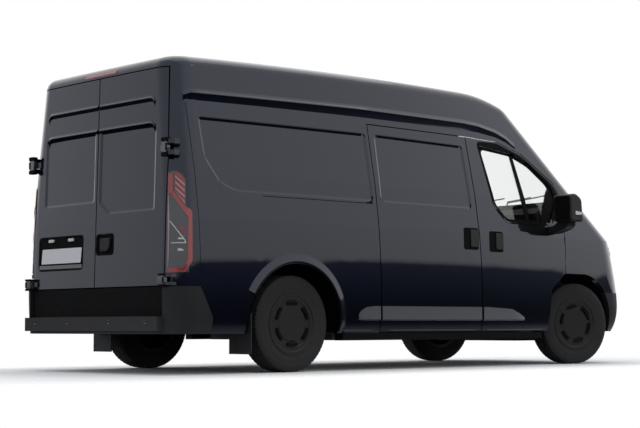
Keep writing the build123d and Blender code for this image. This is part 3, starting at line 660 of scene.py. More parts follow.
def build_weave():
    """Plain woven cloth, as a height and a shade of its threads."""
    tree, source, sink = group_tree(
        "Cloth weave",
        [("Threads", "NodeSocketFloat", 620.0)],
        [("Height", "NodeSocketFloat"), ("Shade", "NodeSocketFloat")],
    )
    place = tree.nodes.new("ShaderNodeTexCoord").outputs["Object"]
    bands = []
    for direction in ("X", "Z", "Y"):
        wave = tree.nodes.new("ShaderNodeTexWave")
        wave.bands_direction = direction
        wave.inputs["Distortion"].default_value = 0.6
        wave.inputs["Detail"].default_value = 1.0
        tree.links.new(place, wave.inputs["Vector"])
        tree.links.new(
            math_node(tree, "DIVIDE", source.outputs["Threads"], 6.0), wave.inputs["Scale"]
        )
        bands.append(wave.outputs["Fac"])
    woven = math_node(tree, "MULTIPLY", bands[0], bands[1])
    woven = math_node(tree, "ADD", woven, math_node(tree, "MULTIPLY", bands[2], 0.5))
    tree.links.new(woven, sink.inputs["Height"])
    tree.links.new(noise(tree, place, 60.0, 4.0), sink.inputs["Shade"])
    return tree


GROUP_BUILDERS = {
    "Road dust": build_road_dust,
    "Moulded grain": build_fine_grain,
    "Cloth weave": build_weave,
}


class Finish:
    """A material with its Principled shader, and short ways to feed it."""

    def __init__(self, name, colour, roughness, **values):
        self.material = bpy.data.materials.new(name)
        self.material.use_nodes = True
        self.tree = self.material.node_tree
        self.shader = self.tree.nodes["Principled BSDF"]
        self.colour = (*colour, 1)
        self.shader.inputs["Base Color"].default_value = self.colour
        self.shader.inputs["Roughness"].default_value = roughness
        self.roughness = roughness
        for label, value in values.items():
            self.shader.inputs[label.replace("_", " ")].default_value = value
        self.height = None

    def group(self, name, **values):
        """Place a shared node group with its own values."""
        tree = bpy.data.node_groups.get(name) or GROUP_BUILDERS[name]()
        node = self.tree.nodes.new("ShaderNodeGroup")
        node.node_tree = tree
        for label, value in values.items():
            node.inputs[label].default_value = value
        return node

    def place(self):
        """Object coordinates."""
        return self.tree.nodes.new("ShaderNodeTexCoord").outputs["Object"]

    def mix_colour(self, factor, other):
        """Mix another colour over what feeds the base colour."""
        mix = self.tree.nodes.new("ShaderNodeMix")
        mix.data_type = "RGBA"
        self.tree.links.new(factor, mix.inputs[0])
        base = self.shader.inputs["Base Color"]
        if base.is_linked:
            self.tree.links.new(base.links[0].from_socket, mix.inputs[6])
        else:
            mix.inputs[6].default_value = self.colour
        mix.inputs[7].default_value = (*other, 1)
        self.tree.links.new(mix.outputs[2], base)

    def vary_roughness(self, factor, low, high):
        """Let the roughness follow a mask."""
        span = self.tree.nodes.new("ShaderNodeMapRange")
        span.inputs["To Min"].default_value = low
        span.inputs["To Max"].default_value = high
        self.tree.links.new(factor, span.inputs["Value"])
        self.tree.links.new(span.outputs["Result"], self.shader.inputs["Roughness"])

    def bump(self, height, strength, distance):
        """Add a bump, after any that is there."""
        node = self.tree.nodes.new("ShaderNodeBump")
        node.inputs["Strength"].default_value = strength
        node.inputs["Distance"].default_value = distance
        self.tree.links.new(height, node.inputs["Height"])
        normal = self.shader.inputs["Normal"]
        if normal.is_linked:
            self.tree.links.new(normal.links[0].from_socket, node.inputs["Normal"])
        self.tree.links.new(node.outputs["Normal"], normal)

    def dust(self, height, amount, colour=(0.16, 0.15, 0.14)):
        """Lay road dust on the lower parts."""
        mask = self.group("Road dust", Height=height, Amount=amount).outputs["Mask"]
        self.mix_colour(mask, colour)
        return mask


def paint_finish(settings):
    """Nearly black blue metallic paint under a clear coat, with fine flake and orange peel."""
    finish = Finish(
        "Van paint",
        settings.paint,
        0.32,
        Metallic=1.0,
        Coat_Weight=1.0,
        Coat_Roughness=0.03,
        Coat_IOR=1.5,
    )
    place = finish.place()
    flake = ramp(finish.tree, noise(finish.tree, place, 2600.0, 1.0), [(0.52, 0.0), (0.7, 1.0)])
    finish.mix_colour(math_node(finish.tree, "MULTIPLY", flake, 0.3), (0.03, 0.038, 0.07))
    mask = finish.dust(0.7, 0.05)
    finish.vary_roughness(mask, 0.30, 0.6)
    peel = noise(finish.tree, place, 130.0, 2.0)
    finish.bump(peel, 0.02, 0.0006)
    return finish.material


def plastic_finish(settings):
    """Grained black plastic of bumpers, mirrors and sills."""
    finish = Finish("Moulded plastic", settings.plastic, 0.55, Specular_IOR_Level=0.45)
    grain = finish.group("Moulded grain", Scale=700.0)
    finish.mix_colour(
        math_node(finish.tree, "MULTIPLY", grain.outputs["Mottle"], 0.35), (0.017, 0.0175, 0.019)
    )
    mask = finish.dust(0.8, 0.06)
    finish.vary_roughness(mask, 0.5, 0.9)
    finish.bump(grain.outputs["Height"], 0.25, 0.0006)
    return finish.material


def gloss_finish(settings):
    """Gloss black plastic."""
    finish = Finish("Gloss black", settings.gloss, 0.12, Coat_Weight=0.6, Coat_Roughness=0.05)
    smear = noise(finish.tree, finish.place(), 22.0, 4.0)
    finish.vary_roughness(smear, 0.08, 0.22)
    return finish.material


def seal_finish():
    """Matt black rubber of seals and gaps."""
    finish = Finish("Seal rubber", (0.0035, 0.0035, 0.004), 0.75, Specular_IOR_Level=0.12)
    grain = finish.group("Moulded grain", Scale=1500.0)
    finish.bump(grain.outputs["Height"], 0.2, 0.0003)
    finish.vary_roughness(grain.outputs["Mottle"], 0.65, 0.85)
    return finish.material


def glass_finish():
    """Clear window glass with a faint grey tint."""
    finish = Finish(
        "Window glass", (0.975, 0.985, 0.98), 0.0, Transmission_Weight=1.0, IOR=1.45
    )
    smear = noise(finish.tree, finish.place(), 6.0, 5.0, 0.6)
    finish.vary_roughness(smear, 0.0, 0.02)
    return finish.material


def rubber_finish(settings):
    """Tyre rubber with dusty grooves."""
    finish = Finish("Tyre rubber", settings.rubber, 0.8, Specular_IOR_Level=0.35)
    place = finish.place()
    mottle = noise(finish.tree, place, 24.0, 5.0)
    finish.mix_colour(math_node(finish.tree, "MULTIPLY", mottle, 0.35), (0.030, 0.029, 0.028))
    finish.dust(0.9, 0.10, (0.09, 0.085, 0.08))
    finish.vary_roughness(mottle, 0.7, 0.92)
    finish.bump(noise(finish.tree, place, 900.0, 2.0), 0.12, 0.0005)
    return finish.material


def cover_finish(settings):
    """Satin black wheel covers."""
    finish = Finish("Wheel cover", settings.cover, 0.5, Specular_IOR_Level=0.3)
    grain = finish.group("Moulded grain", Scale=1100.0)
    finish.mix_colour(
        math_node(finish.tree, "MULTIPLY", grain.outputs["Mottle"], 0.3), (0.014, 0.0145, 0.016)
    )
    mask = finish.dust(0.8, 0.05)
    finish.vary_roughness(mask, 0.42, 0.85)
    finish.bump(grain.outputs["Height"], 0.15, 0.0004)
    return finish.material


def steel_finish(name, colour, roughness, metallic=0.6):
    """Painted or bare chassis metal with dirt."""
    finish = Finish(name, colour, roughness, Metallic=metallic)
    place = finish.place()
    mottle = noise(finish.tree, place, 18.0, 6.0, 0.65)
    finish.mix_colour(math_node(finish.tree, "MULTIPLY", mottle, 0.4), [c * 0.45 for c in colour])
    finish.dust(1.0, 0.35)
    finish.vary_roughness(mottle, roughness * 0.8, min(1, roughness * 1.4))
    finish.bump(noise(finish.tree, place, 240.0, 3.0), 0.15, 0.0008)
    return finish.material


def interior_finish(name="Interior plastic", colour=(0.028, 0.029, 0.031)):
    """Soft-touch interior plastic."""
    finish = Finish(name, colour, 0.62, Specular_IOR_Level=0.4)
    grain = finish.group("Moulded grain", Scale=520.0)
    finish.bump(grain.outputs["Height"], 0.3, 0.0007)
    finish.vary_roughness(grain.outputs["Mottle"], 0.55, 0.75)
    return finish.material


def cloth_finish(settings):
    """Dark woven seat cloth."""
    finish = Finish("Woven cloth", settings.cloth, 0.92, Sheen_Weight=0.35, Sheen_Roughness=0.5)
    weave = finish.group("Cloth weave", Threads=720.0)
    finish.mix_colour(
        math_node(finish.tree, "MULTIPLY", weave.outputs["Shade"], 0.5), (0.06, 0.062, 0.068)
    )
    finish.bump(weave.outputs["Height"], 0.45, 0.0008)
    return finish.material


def lens_finish(name, colour, roughness=0.08, transmission=0.0, ribs=0.0):
    """A lamp lens or bowl, with moulded optic ribs."""
    finish = Finish(
        name,
        colour,
        roughness,
        Transmission_Weight=transmission,
        Coat_Weight=1.0 if not transmission else 0.0,
        Coat_Roughness=0.03,
    )
    place = finish.place()
    haze = noise(finish.tree, place, 40.0, 3.0)
    finish.vary_roughness(haze, roughness, roughness + 0.1)
    if ribs:
        wave = finish.tree.nodes.new("ShaderNodeTexWave")
        wave.bands_direction = "DIAGONAL"
        wave.inputs["Scale"].default_value = ribs
        finish.tree.links.new(place, wave.inputs["Vector"])
        finish.bump(wave.outputs["Fac"], 0.3, 0.002)
    return finish.material


def mirror_finish():
    """Silvered mirror glass with a faint haze."""
    finish = Finish("Mirror glass", (0.75, 0.76, 0.78), 0.02, Metallic=1.0)
    finish.vary_roughness(noise(finish.tree, finish.place(), 30.0, 3.0), 0.0, 0.05)
    return finish.material


def plate_finish(settings):
    """The blank, reflective face of a number plate."""
    finish = Finish("Blank plate", settings.plate, 0.35, Coat_Weight=0.4)
    place = finish.place()
    beads = noise(finish.tree, place, 1800.0, 1.0)
    finish.mix_colour(
        math_node(finish.tree, "MULTIPLY", noise(finish.tree, place, 20.0), 0.25),
        (0.74, 0.74, 0.76),
    )
    finish.bump(beads, 0.1, 0.0003)
    return finish.material


SLOT_FINISH = {
    "paint": "Van paint",
    "black_plastic": "Moulded plastic",
    "gloss_black": "Gloss black",
    "glass": "Window glass",
    "red_lens": "Red light guide",
    "clear_lens": "Clear lens",
    "tyre": "Tyre rubber",
    "wheel_paint": "Wheel cover",
    "chassis_steel": "Chassis steel",
    "battery_case": "Battery case",
    "alloy": "Cast alloy",
    "interior_plastic": "Interior plastic",
    "seat_fabric": "Woven cloth",
}


NODE_FINISH = {
    # painted shade: the step panel and the sills take the near-black seal rubber, darker than the bumpers'
    # plastic, for the shade and dark reflections low on the van
    "step_panel": "Seal rubber",
    "sills": "Seal rubber",
    "tail_lamps": "Lamp bowl",
    "wheel_housings": "Seal rubber",
}


def finish_of(name):
    """A finish that has been made."""
    return bpy.data.materials[name]


# ---------------------------------------------------------------------------------------------
# Operators
# ---------------------------------------------------------------------------------------------


class VAN_OT_finishes(bpy.types.Operator):
    """Make the finishes and lay them on the van's panels and parts"""

    bl_idname = "van.finishes"
    bl_label = "Finishes"

    def execute(self, context):
        settings = context.scene.van_finish
        paint_finish(settings)
        plastic_finish(settings)
        gloss_finish(settings)
        seal_finish()
        glass_finish()
        rubber_finish(settings)
        cover_finish(settings)
        steel_finish("Chassis steel", (0.035, 0.035, 0.036), 0.5)
        steel_finish("Battery case", (0.10, 0.10, 0.105), 0.45)
        steel_finish("Cast alloy", (0.32, 0.32, 0.33), 0.5, 0.9)
        steel_finish("Bare steel", (0.42, 0.41, 0.40), 0.35, 1.0)
        interior_finish()
        cloth_finish(settings)
        lens_finish("Red light guide", settings.red_lens, 0.15)
        lens_finish("Red hatched lens", [c * 0.75 for c in settings.red_lens], 0.3, ribs=28.0)
        lens_finish("Lamp bowl", settings.lamp_dark, 0.1)
        lens_finish("Lamp white", (0.75, 0.75, 0.75), 0.2)
        lens_finish("Clear lens", (0.9, 0.9, 0.9), 0.02, transmission=1.0)
        lens_finish("Pale guide", (0.50, 0.30, 0.30), 0.2)
        lens_finish("High lamp lens", (0.36, 0.10, 0.10), 0.2)
        mirror_finish()
        plate_finish(settings)
        for part in frame["record"]["subparts"]:
            node = NODES[part["node"]]
            node.data.materials.clear()
            finish = NODE_FINISH.get(part["node"], SLOT_FINISH[part["material_slot"]])
            node.data.materials.append(finish_of(finish))
        return {"FINISHED"}


def add_camera(settings):
    """The camera, level with the sills, looking at the rear corner of the van."""
    heading, pitch, roll = settings.heading, settings.pitch, settings.roll
    ahead = Vector(
        (math.cos(heading) * math.cos(pitch), math.sin(heading) * math.cos(pitch), math.sin(pitch))
    )
    across = Vector((math.sin(heading), -math.cos(heading), 0))
    above = across.cross(ahead)
    right = across * math.cos(roll) + above * math.sin(roll)
    up = above * math.cos(roll) - across * math.sin(roll)
    data = bpy.data.cameras.new("Camera")
    data.lens = settings.lens
    data.sensor_width = 36
    data.clip_end = 200
    camera = bpy.data.objects.new("Camera", data)
    bpy.context.scene.collection.objects.link(camera)
    place = Matrix((right, up, -ahead)).transposed().to_4x4()
    place.translation = Vector(settings.camera_place)
    camera.matrix_world = place
    bpy.context.scene.camera = camera


BODY_SIDE = 0.95
SIDE_FADE = 2.4


def add_floor(margin):
    """A pale round-cornered floor that keeps the shadow and fades out at its edge."""
    low, high = cad_box
    reach = margin + 1.4
    outline = round_outline(
        (low.x - reach, low.y - reach), (high.x + reach, high.y + reach), reach, 16
    )
    count = len(outline)
    centre = [(x * 0.2, y * 0.2) for x, y in outline]
    points = [(x, y, 0) for x, y in outline] + [(x, y, 0) for x, y in centre]
    faces = [(i, (i + 1) % count, count + (i + 1) % count, count + i) for i in range(count)]
    faces.append(tuple(range(count, 2 * count)))
    floor = mesh_from("floor", points, faces)
    material = bpy.data.materials.new("Studio floor")
    material.use_nodes = True
    tree = material.node_tree
    shader = tree.nodes["Principled BSDF"]
    shader.inputs["Base Color"].default_value = (0.96, 0.96, 0.96, 1)
    shader.inputs["Roughness"].default_value = 1.0
    shader.inputs["Specular IOR Level"].default_value = 0.0
    place = tree.nodes.new("ShaderNodeTexCoord").outputs["Object"]
    split = tree.nodes.new("ShaderNodeSeparateXYZ")
    tree.links.new(place, split.inputs[0])
    out_x = math_node(tree, "SUBTRACT", math_node(tree, "ABSOLUTE", split.outputs["X"]), high.x)
    out_y = math_node(tree, "SUBTRACT", math_node(tree, "ABSOLUTE", split.outputs["Y"]), BODY_SIDE)
    out_x = math_node(tree, "MAXIMUM", out_x, 0.0)
    out_y = math_node(tree, "MULTIPLY", math_node(tree, "MAXIMUM", out_y, 0.0), SIDE_FADE)
    out = math_node(
        tree,
        "SQRT",
        math_node(
            tree,
            "ADD",
            math_node(tree, "MULTIPLY", out_x, out_x),
            math_node(tree, "MULTIPLY", out_y, out_y),
        ),
    )
    fade = tree.nodes.new("ShaderNodeMapRange")
    fade.interpolation_type = "SMOOTHSTEP"
    fade.inputs["From Min"].default_value = margin * 0.3
    fade.inputs["From Max"].default_value = reach * 0.96
    fade.inputs["To Min"].default_value = 1.0
    fade.inputs["To Max"].default_value = 0.0
    tree.links.new(out, fade.inputs["Value"])
    speckle = noise(tree, place, 30.0, 4.0)
    fine = tree.nodes.new("ShaderNodeBump")
    fine.inputs["Strength"].default_value = 0.02
    tree.links.new(speckle, fine.inputs["Height"])
    tree.links.new(fine.outputs["Normal"], shader.inputs["Normal"])
    tree.links.new(fade.outputs["Result"], shader.inputs["Alpha"])
    paths = tree.nodes.new("ShaderNodeLightPath")
    seen = math_node(
        tree, "MAXIMUM", paths.outputs["Is Camera Ray"], paths.outputs["Is Glossy Ray"]
    )
    seen = math_node(tree, "MAXIMUM", seen, paths.outputs["Is Transmission Ray"])
    tone = tree.nodes.new("ShaderNodeMix")
    tone.data_type = "RGBA"
    tone.inputs[6].default_value = (0.10, 0.10, 0.105, 1)
    tone.inputs[7].default_value = (0.96, 0.96, 0.96, 1)
    tree.links.new(seen, tone.inputs[0])
    tree.links.new(tone.outputs[2], shader.inputs["Base Color"])
    floor.data.materials.append(material)


def add_world(strength):
    """A white sky over a dark ground, with white all round for the camera and through glass.

    Glossy rays see white only above the horizon, and less of it behind the van.

    The sky is a little dimmer behind the van than beside it.
    """
    world = bpy.data.worlds.new("Studio")
    bpy.context.scene.world = world
    world.use_nodes = True
    tree = world.node_tree
    tree.nodes.clear()
    sink = tree.nodes.new("ShaderNodeOutputWorld")
    place = tree.nodes.new("ShaderNodeTexCoord").outputs["Generated"]
    split = tree.nodes.new("ShaderNodeSeparateXYZ")
    tree.links.new(place, split.inputs[0])
    behind = tree.nodes.new("ShaderNodeMapRange")
    behind.inputs["From Min"].default_value = 0.1
    behind.inputs["From Max"].default_value = -0.4
    tree.links.new(split.outputs["X"], behind.inputs["Value"])
    horizon = tree.nodes.new("ShaderNodeMapRange")
    horizon.inputs["From Min"].default_value = 0.020
    horizon.inputs["From Max"].default_value = 0.034
    tree.links.new(split.outputs["Z"], horizon.inputs["Value"])
    sky = tree.nodes.new("ShaderNodeBackground")
    shade = tree.nodes.new("ShaderNodeMix")
    shade.data_type = "RGBA"
    shade.inputs[6].default_value = (0.95, 0.975, 1.0, 1)
    shade.inputs[7].default_value = (0.70, 0.72, 0.76, 1)
    tree.links.new(behind.outputs["Result"], shade.inputs[0])
    tree.links.new(shade.outputs[2], sky.inputs["Color"])
    sky.inputs["Strength"].default_value = strength
    ground = tree.nodes.new("ShaderNodeBackground")
    ground.inputs["Color"].default_value = (0.010, 0.012, 0.022, 1)
    ground.inputs["Strength"].default_value = 1.0
    half = tree.nodes.new("ShaderNodeMixShader")
    tree.links.new(horizon.outputs["Result"], half.inputs[0])
    tree.links.new(ground.outputs[0], half.inputs[1])
    tree.links.new(sky.outputs[0], half.inputs[2])
    white = tree.nodes.new("ShaderNodeBackground")
    white.inputs["Color"].default_value = (1, 1, 1, 1)
    paths = tree.nodes.new("ShaderNodeLightPath")
    beside = math_node(
        tree, "SUBTRACT", 1.0, math_node(tree, "MULTIPLY", behind.outputs["Result"], 0.9)
    )
    upper_glossy = math_node(
        tree, "MULTIPLY", paths.outputs["Is Glossy Ray"], horizon.outputs["Result"]
    )
    upper_glossy = math_node(tree, "MULTIPLY", upper_glossy, beside)
    seen = math_node(tree, "MAXIMUM", paths.outputs["Is Camera Ray"], upper_glossy)
    seen = math_node(tree, "MAXIMUM", seen, paths.outputs["Is Transmission Ray"])
    final = tree.nodes.new("ShaderNodeMixShader")
    tree.links.new(seen, final.inputs[0])
    tree.links.new(half.outputs[0], final.inputs[1])
    tree.links.new(white.outputs[0], final.inputs[2])
    tree.links.new(final.outputs[0], sink.inputs["Surface"])


def add_lamp(name, place, aim, size, power):
    """A large soft lamp that only lights, and isn't mirrored in the paint."""
    data = bpy.data.lights.new(name, "AREA")
    data.shape = "RECTANGLE"
    data.size, data.size_y = size
    data.energy = power
    data.specular_factor = 0.0
    lamp = bpy.data.objects.new(name, data)
    bpy.context.scene.collection.objects.link(lamp)
    lamp.location = place
    lamp.rotation_euler = (Vector(aim) - Vector(place)).to_track_quat("-Z", "Y").to_euler()


class VAN_OT_stage(bpy.types.Operator):
    """Set up the camera, the pale floor, the white surroundings and the soft light"""

    bl_idname = "van.stage"
    bl_label = "Stage"

    def execute(self, context):
        settings = context.scene.van_stage
        scene = context.scene
        scene.view_settings.view_transform = "Standard"
        add_camera(settings)
        add_world(settings.sky)
        add_floor(settings.floor_margin)
        add_lamp("overhead", (0, 0, 7), (0, 0, 0), (9, 6), 120)
        return {"FINISHED"}


def wheel_facts(joint):
    """A wheel's body, place, outward axis and corner name."""
    centre = Vector(joint["pos_m"])
    axis = Vector(joint["axis"]).normalized()
    if axis.y * centre.y < 0:
        axis = -axis
    corner = joint["name"].replace("wheel_", "").replace("_spin", "")
    return joint["child"], centre, axis, corner


TYRE_RADIUS = 0.350
TYRE_WIDTH = 0.195
RIM_RADIUS = 0.205


def tyre_points(radius, rim, width):
    """The profile of a tyre's outside, as (distance along the axis, radius) points."""
    half = width / 2
    bead = rim + 0.004
    sidewall = [
        (-half * 0.80, bead),
        (-half * 0.93, bead + 0.012),
        (-half * 0.97, bead + 0.020),
        (-half * 0.955, bead + 0.024),
        (-half * 1.0, bead + 0.045),
        (-half * 1.0, bead + 0.075),
        (-half * 0.985, bead + 0.082),
        (-half * 0.99, bead + 0.086),
        (-half * 0.965, radius - 0.036),
        (-half * 0.93, radius - 0.022),
        (-half * 0.90, radius - 0.012),
        (-half * 0.84, radius - 0.004),
    ]
    tread = np.linspace(-half * 0.80, half * 0.80, 41)
    crown = [(along, radius - 0.0015 * (along / half) ** 2) for along in tread]
    return sidewall + crown + [(-along, r) for along, r in reversed(sidewall)]


def tyre_mesh(name, centre, axis, settings):
    """A tyre with ribs, grooves and sipes, and rings on its plain sidewall."""
    profile = tyre_points(TYRE_RADIUS, RIM_RADIUS, TYRE_WIDTH)
    segments = settings.tread_blocks * 8
    turn = Vector((0, 0, 1)).rotation_difference(axis).to_matrix()
    grooves = [-0.052, -0.018, 0.018, 0.052]
    points = []
    for k in range(segments):
        angle = math.tau * k / segments
        phase = k % 8
        for along, r in profile:
            if abs(along) < TYRE_WIDTH * 0.41 and r > TYRE_RADIUS - 0.003:
                main = min(abs(along - g) for g in grooves) < 0.0042
                wave = 4 * math.sin(abs(along) * 60)
                lateral = abs((phase + wave) % 8 - 4) < 0.6
                outer = abs(along) > 0.056
                if main:
                    r -= settings.tread_depth
                elif outer and phase in (0, 1) or lateral and not outer:
                    r -= settings.tread_depth * (0.8 if outer else 0.45)
            elif r > TYRE_RADIUS - 0.025 and phase in (0, 1):
                r -= 0.002
            spot = Vector((r * math.cos(angle), r * math.sin(angle), along))
            points.append(centre + turn @ spot)
    return mesh_from(name, points, ring_faces(segments, len(profile)), 40)


def cover_profile(rim):
    """Distances out from the wheel's middle plane and radii of the rim and its cover's face."""
    return [
        (-0.080, rim + 0.004),
        (-0.094, rim + 0.016),
        (-0.084, rim + 0.014),
        (-0.074, rim - 0.004),
        (-0.060, rim - 0.012),
        (0.030, rim - 0.016),
        (0.055, rim - 0.008),
        (0.074, rim - 0.004),
        (0.084, rim + 0.014),
        (0.0945, rim + 0.016),
        (0.0930, rim + 0.008),
        (0.0845, rim - 0.002),
        (0.0800, rim - 0.010),
        (0.0815, rim - 0.020),
        (0.0835, rim - 0.034),
        (0.0780, rim - 0.040),
        (0.0780, rim - 0.068),
        (0.0870, rim - 0.073),
        (0.0885, rim - 0.078),
        (0.0885, 0.060),
        (0.0870, 0.056),
        (0.0870, 0.004),
    ]


def wheel_cover(name, centre, axis, slots):
    """A closed wheel cover: a flat disc, a ring of arc slots and a rolled flange."""
    profile = []
    base = cover_profile(RIM_RADIUS)
    for i in range(len(base) - 1):
        (a0, r0), (a1, r1) = base[i], base[i + 1]
        length = math.hypot(a1 - a0, r1 - r0)
        steps = max(1, round(length / 0.009)) if 0.120 < (r0 + r1) / 2 < 0.175 else 1
        profile += [(a0 + (a1 - a0) * s / steps, r0 + (r1 - r0) * s / steps) for s in range(steps)]
    profile.append(base[-1])
    segments = 360
    turn = Vector((0, 0, 1)).rotation_difference(axis).to_matrix()
    slot_low, slot_high = 0.140, 0.163
    slot_half = math.radians(19)
    points = []
    for k in range(segments):
        angle = math.tau * k / segments
        pitch = math.tau / slots
        off = abs((angle + pitch / 2) % pitch - pitch / 2)
        for along, r in profile:
            if along > 0.06 and slot_low < r < slot_high:
                edge = (slot_half - off) / math.radians(1.5)
                inner = min(r - slot_low, slot_high - r) / 0.003
                along -= 0.028 * min(1, max(0, edge)) * min(1, max(0, inner))
            spot = Vector((r * math.cos(angle), r * math.sin(angle), along))
            points.append(centre + turn @ spot)
    rows = len(profile)
    faces = ring_faces(segments, rows)
    faces.append([k * rows + rows - 1 for k in range(segments)])
    return mesh_from(name, points, faces, 32)


def cover_slot_shade(name, centre, axis, slots):
    """Flat black faces over the mouths of a wheel cover's slots and the valve's notch, with short walls behind
    them: painted shade for the shadowed inside of the wheel seen through the slots.
    """
    turn = Vector((0, 0, 1)).rotation_difference(axis).to_matrix()
    points, faces = [], []
    rim_side = max(abs(corner[1]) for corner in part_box("rim_rear_right"))
    along = max(0.0896, rim_side - abs(WHEELS[-1]["pos_m"][1]) + 0.0006)
    arcs = [(math.tau * (k + 0.5) / slots, math.radians(19), 0.1405, 0.1615) for k in range(slots)]
    arcs.append((-math.pi / 2, math.radians(3), 0.118, 0.1265))
    for middle, half, inner, outer in arcs:
        steps = 14
        for i in range(steps + 1):
            t = 2 * i / steps - 1
            ease = 0.5 * (outer - inner) * (
                1 - math.sqrt(max(0, 1 - max(0, abs(t) - 0.8) ** 2 / 0.04))
            )
            angle = middle + half * t
            for radius, back in (
                (inner + ease, 0.012), (inner + ease, 0), (outer - ease, 0), (outer - ease, 0.012)
            ):
                spot = Vector((radius * math.cos(angle), radius * math.sin(angle), along - back))
                points.append(centre + turn @ spot)
        start = len(points) - 4 * (steps + 1)
        for i in range(steps):
            for k in range(3):
                a = start + 4 * i + k
                faces.append((a, a + 1, a + 5, a + 4))
    return face_outwards(mesh_from(name, points, faces, 40), axis)


class VAN_OT_wheels(bpy.types.Operator):
    """Put treaded tyres and slotted covers on the four wheels"""

    bl_idname = "van.wheels"
    bl_label = "Wheels"

    def execute(self, context):
        settings = context.scene.van_wheel
        for joint in WHEELS:
            body, centre, axis, corner = wheel_facts(joint)
            tyre = tyre_mesh(f"tread_{corner}", centre, axis, settings)
            dress(tyre, body, finish_of("Tyre rubber"))
            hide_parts(f"tyre_{corner}")
            cover = wheel_cover(f"cover_{corner}", centre, axis, settings.slots)
            dress(cover, body, finish_of("Wheel cover"))
            # painted shade: black faces over the cover's slots stand in for the shadowed inside of the wheel
            # behind them
            slot_shade = cover_slot_shade(f"vents_{corner}", centre, axis, settings.slots)
            dress(slot_shade, body, finish_of("Seal rubber"))
        return {"FINISHED"}


LAMP_GUIDES = [
    # name, outline across the corner and up, lift, depth, finish
    ("bowl", [(-1.5225, 0.6965), (-1.5225, 1.386), (-1.487, 1.3975), (-1.4625, 1.3945),
              (-1.4270, 1.372), (-1.4040, 1.336), (-1.4015, 1.277), (-1.3990, 1.150),
              (-1.3675, 1.134), (-1.3560, 1.104), (-1.3530, 0.783), (-1.4010, 0.702)],
     0.0008, 0.0022, "Lamp bowl"),
    ("door_bar", [(-1.518, 1.377), (-1.486, 1.378), (-1.4855, 1.258), (-1.500, 1.240),
                  (-1.518, 1.240)], 0.003, 0.005, "Red light guide"),
    ("band", [(-1.500, 1.2385), (-1.4835, 1.2585), (-1.3990, 1.144), (-1.3700, 1.131),
              (-1.3600, 1.1015), (-1.3565, 0.785), (-1.4030, 0.7045), (-1.520, 0.699),
              (-1.518, 0.728), (-1.4160, 0.729), (-1.3870, 0.797), (-1.3860, 1.0755),
              (-1.4060, 1.099), (-1.4730, 1.2015)], 0.003, 0.006, "Red light guide"),
    ("blade", [(-1.4785, 1.389), (-1.4650, 1.3895), (-1.4330, 1.369), (-1.4090, 1.335),
               (-1.4065, 1.277), (-1.4050, 1.158), (-1.4745, 1.254)], 0.003, 0.003,
     "Red hatched lens"),
    ("pink_edge", [(-1.5205, 1.236), (-1.5165, 1.236), (-1.5085, 1.048), (-1.5165, 0.735),
                   (-1.5205, 0.735)], 0.003, 0.002, "Pale guide"),
    ("white_line", [(-1.5110, 1.052), (-1.5060, 1.054), (-1.4055, 0.923), (-1.3985, 0.906),
                    (-1.3985, 0.898), (-1.4990, 0.898), (-1.4990, 0.9035), (-1.4060, 0.905),
                    (-1.4090, 0.9155)], 0.003, 0.003, "Lamp white"),
    ("bulb_top", [(-1.4520, 0.936), (-1.4400, 0.937), (-1.4160, 0.930), (-1.4130, 0.924),
                  (-1.4520, 0.924)], 0.003, 0.003, "Lamp white"),
    ("bulb_low", [(-1.4560, 0.856), (-1.4450, 0.866), (-1.4200, 0.858), (-1.4120, 0.846),
                  (-1.4540, 0.846)], 0.003, 0.003, "Lamp white"),
    ("reflector", [(-1.4475, 1.003), (-1.4360, 1.027), (-1.4230, 1.016), (-1.4030, 0.978),
                   (-1.4035, 0.950)], 0.003, 0.002, "Red hatched lens"),
    ("lower_bowl", [(-1.5100, 0.742), (-1.5100, 0.812), (-1.4250, 0.815), (-1.3990, 0.795),
                    (-1.4230, 0.741)], 0.003, 0.0018, "Lamp bowl"),
]
BLADE_STRIPES = 5


class VAN_OT_tail_lamps(bpy.types.Operator):
    """Lay light guides, reflectors and hatched lenses on the tail lamps"""

    bl_idname = "van.tail_lamps"
    bl_label = "Tail lamps"

    def execute(self, context):
        skin = Skin("tail_lamps", "body_side_right")
        sides = ("body", "body")
        for name, outline, lift, depth, finish in LAMP_GUIDES:
            rounded_outline = smooth_corners(outline, 0.006, 3)
            piece = skin_patch(
                f"lamp_{name}_right", skin, rounded_outline, "rear corner", lift, depth, 0.03
            )
            both_sides(piece, sides, finish_of(finish))
        stripes = []
        for i in range(BLADE_STRIPES):
            top = 1.352 - i * 0.040
            stripe = [
                (-1.472, top + 0.012), (-1.472, top), (-1.410, top - 0.062), (-1.410, top - 0.046)
            ]
            stripe = [(s, max(z, 1.165 + (-1.405 - s) * 1.35)) for s, z in stripe]
            stripes.append(
                skin_patch(f"stripe_{i}", skin, stripe, "rear corner", 0.006, 0.0015, 0.03)
            )
        both_sides(join("lamp_stripes_right", stripes), sides, finish_of("Pale guide"))
        return {"FINISHED"}


PLATE_FLOOR_X = -2.5655  # floor of the plate's recess
HANDLE_FLOOR_X = -2.5595  # floor of the rear handle's recess
SENSOR_HEIGHT = 0.362
SENSOR_PLACES = (-0.69, -0.26, 0.26, 0.69)


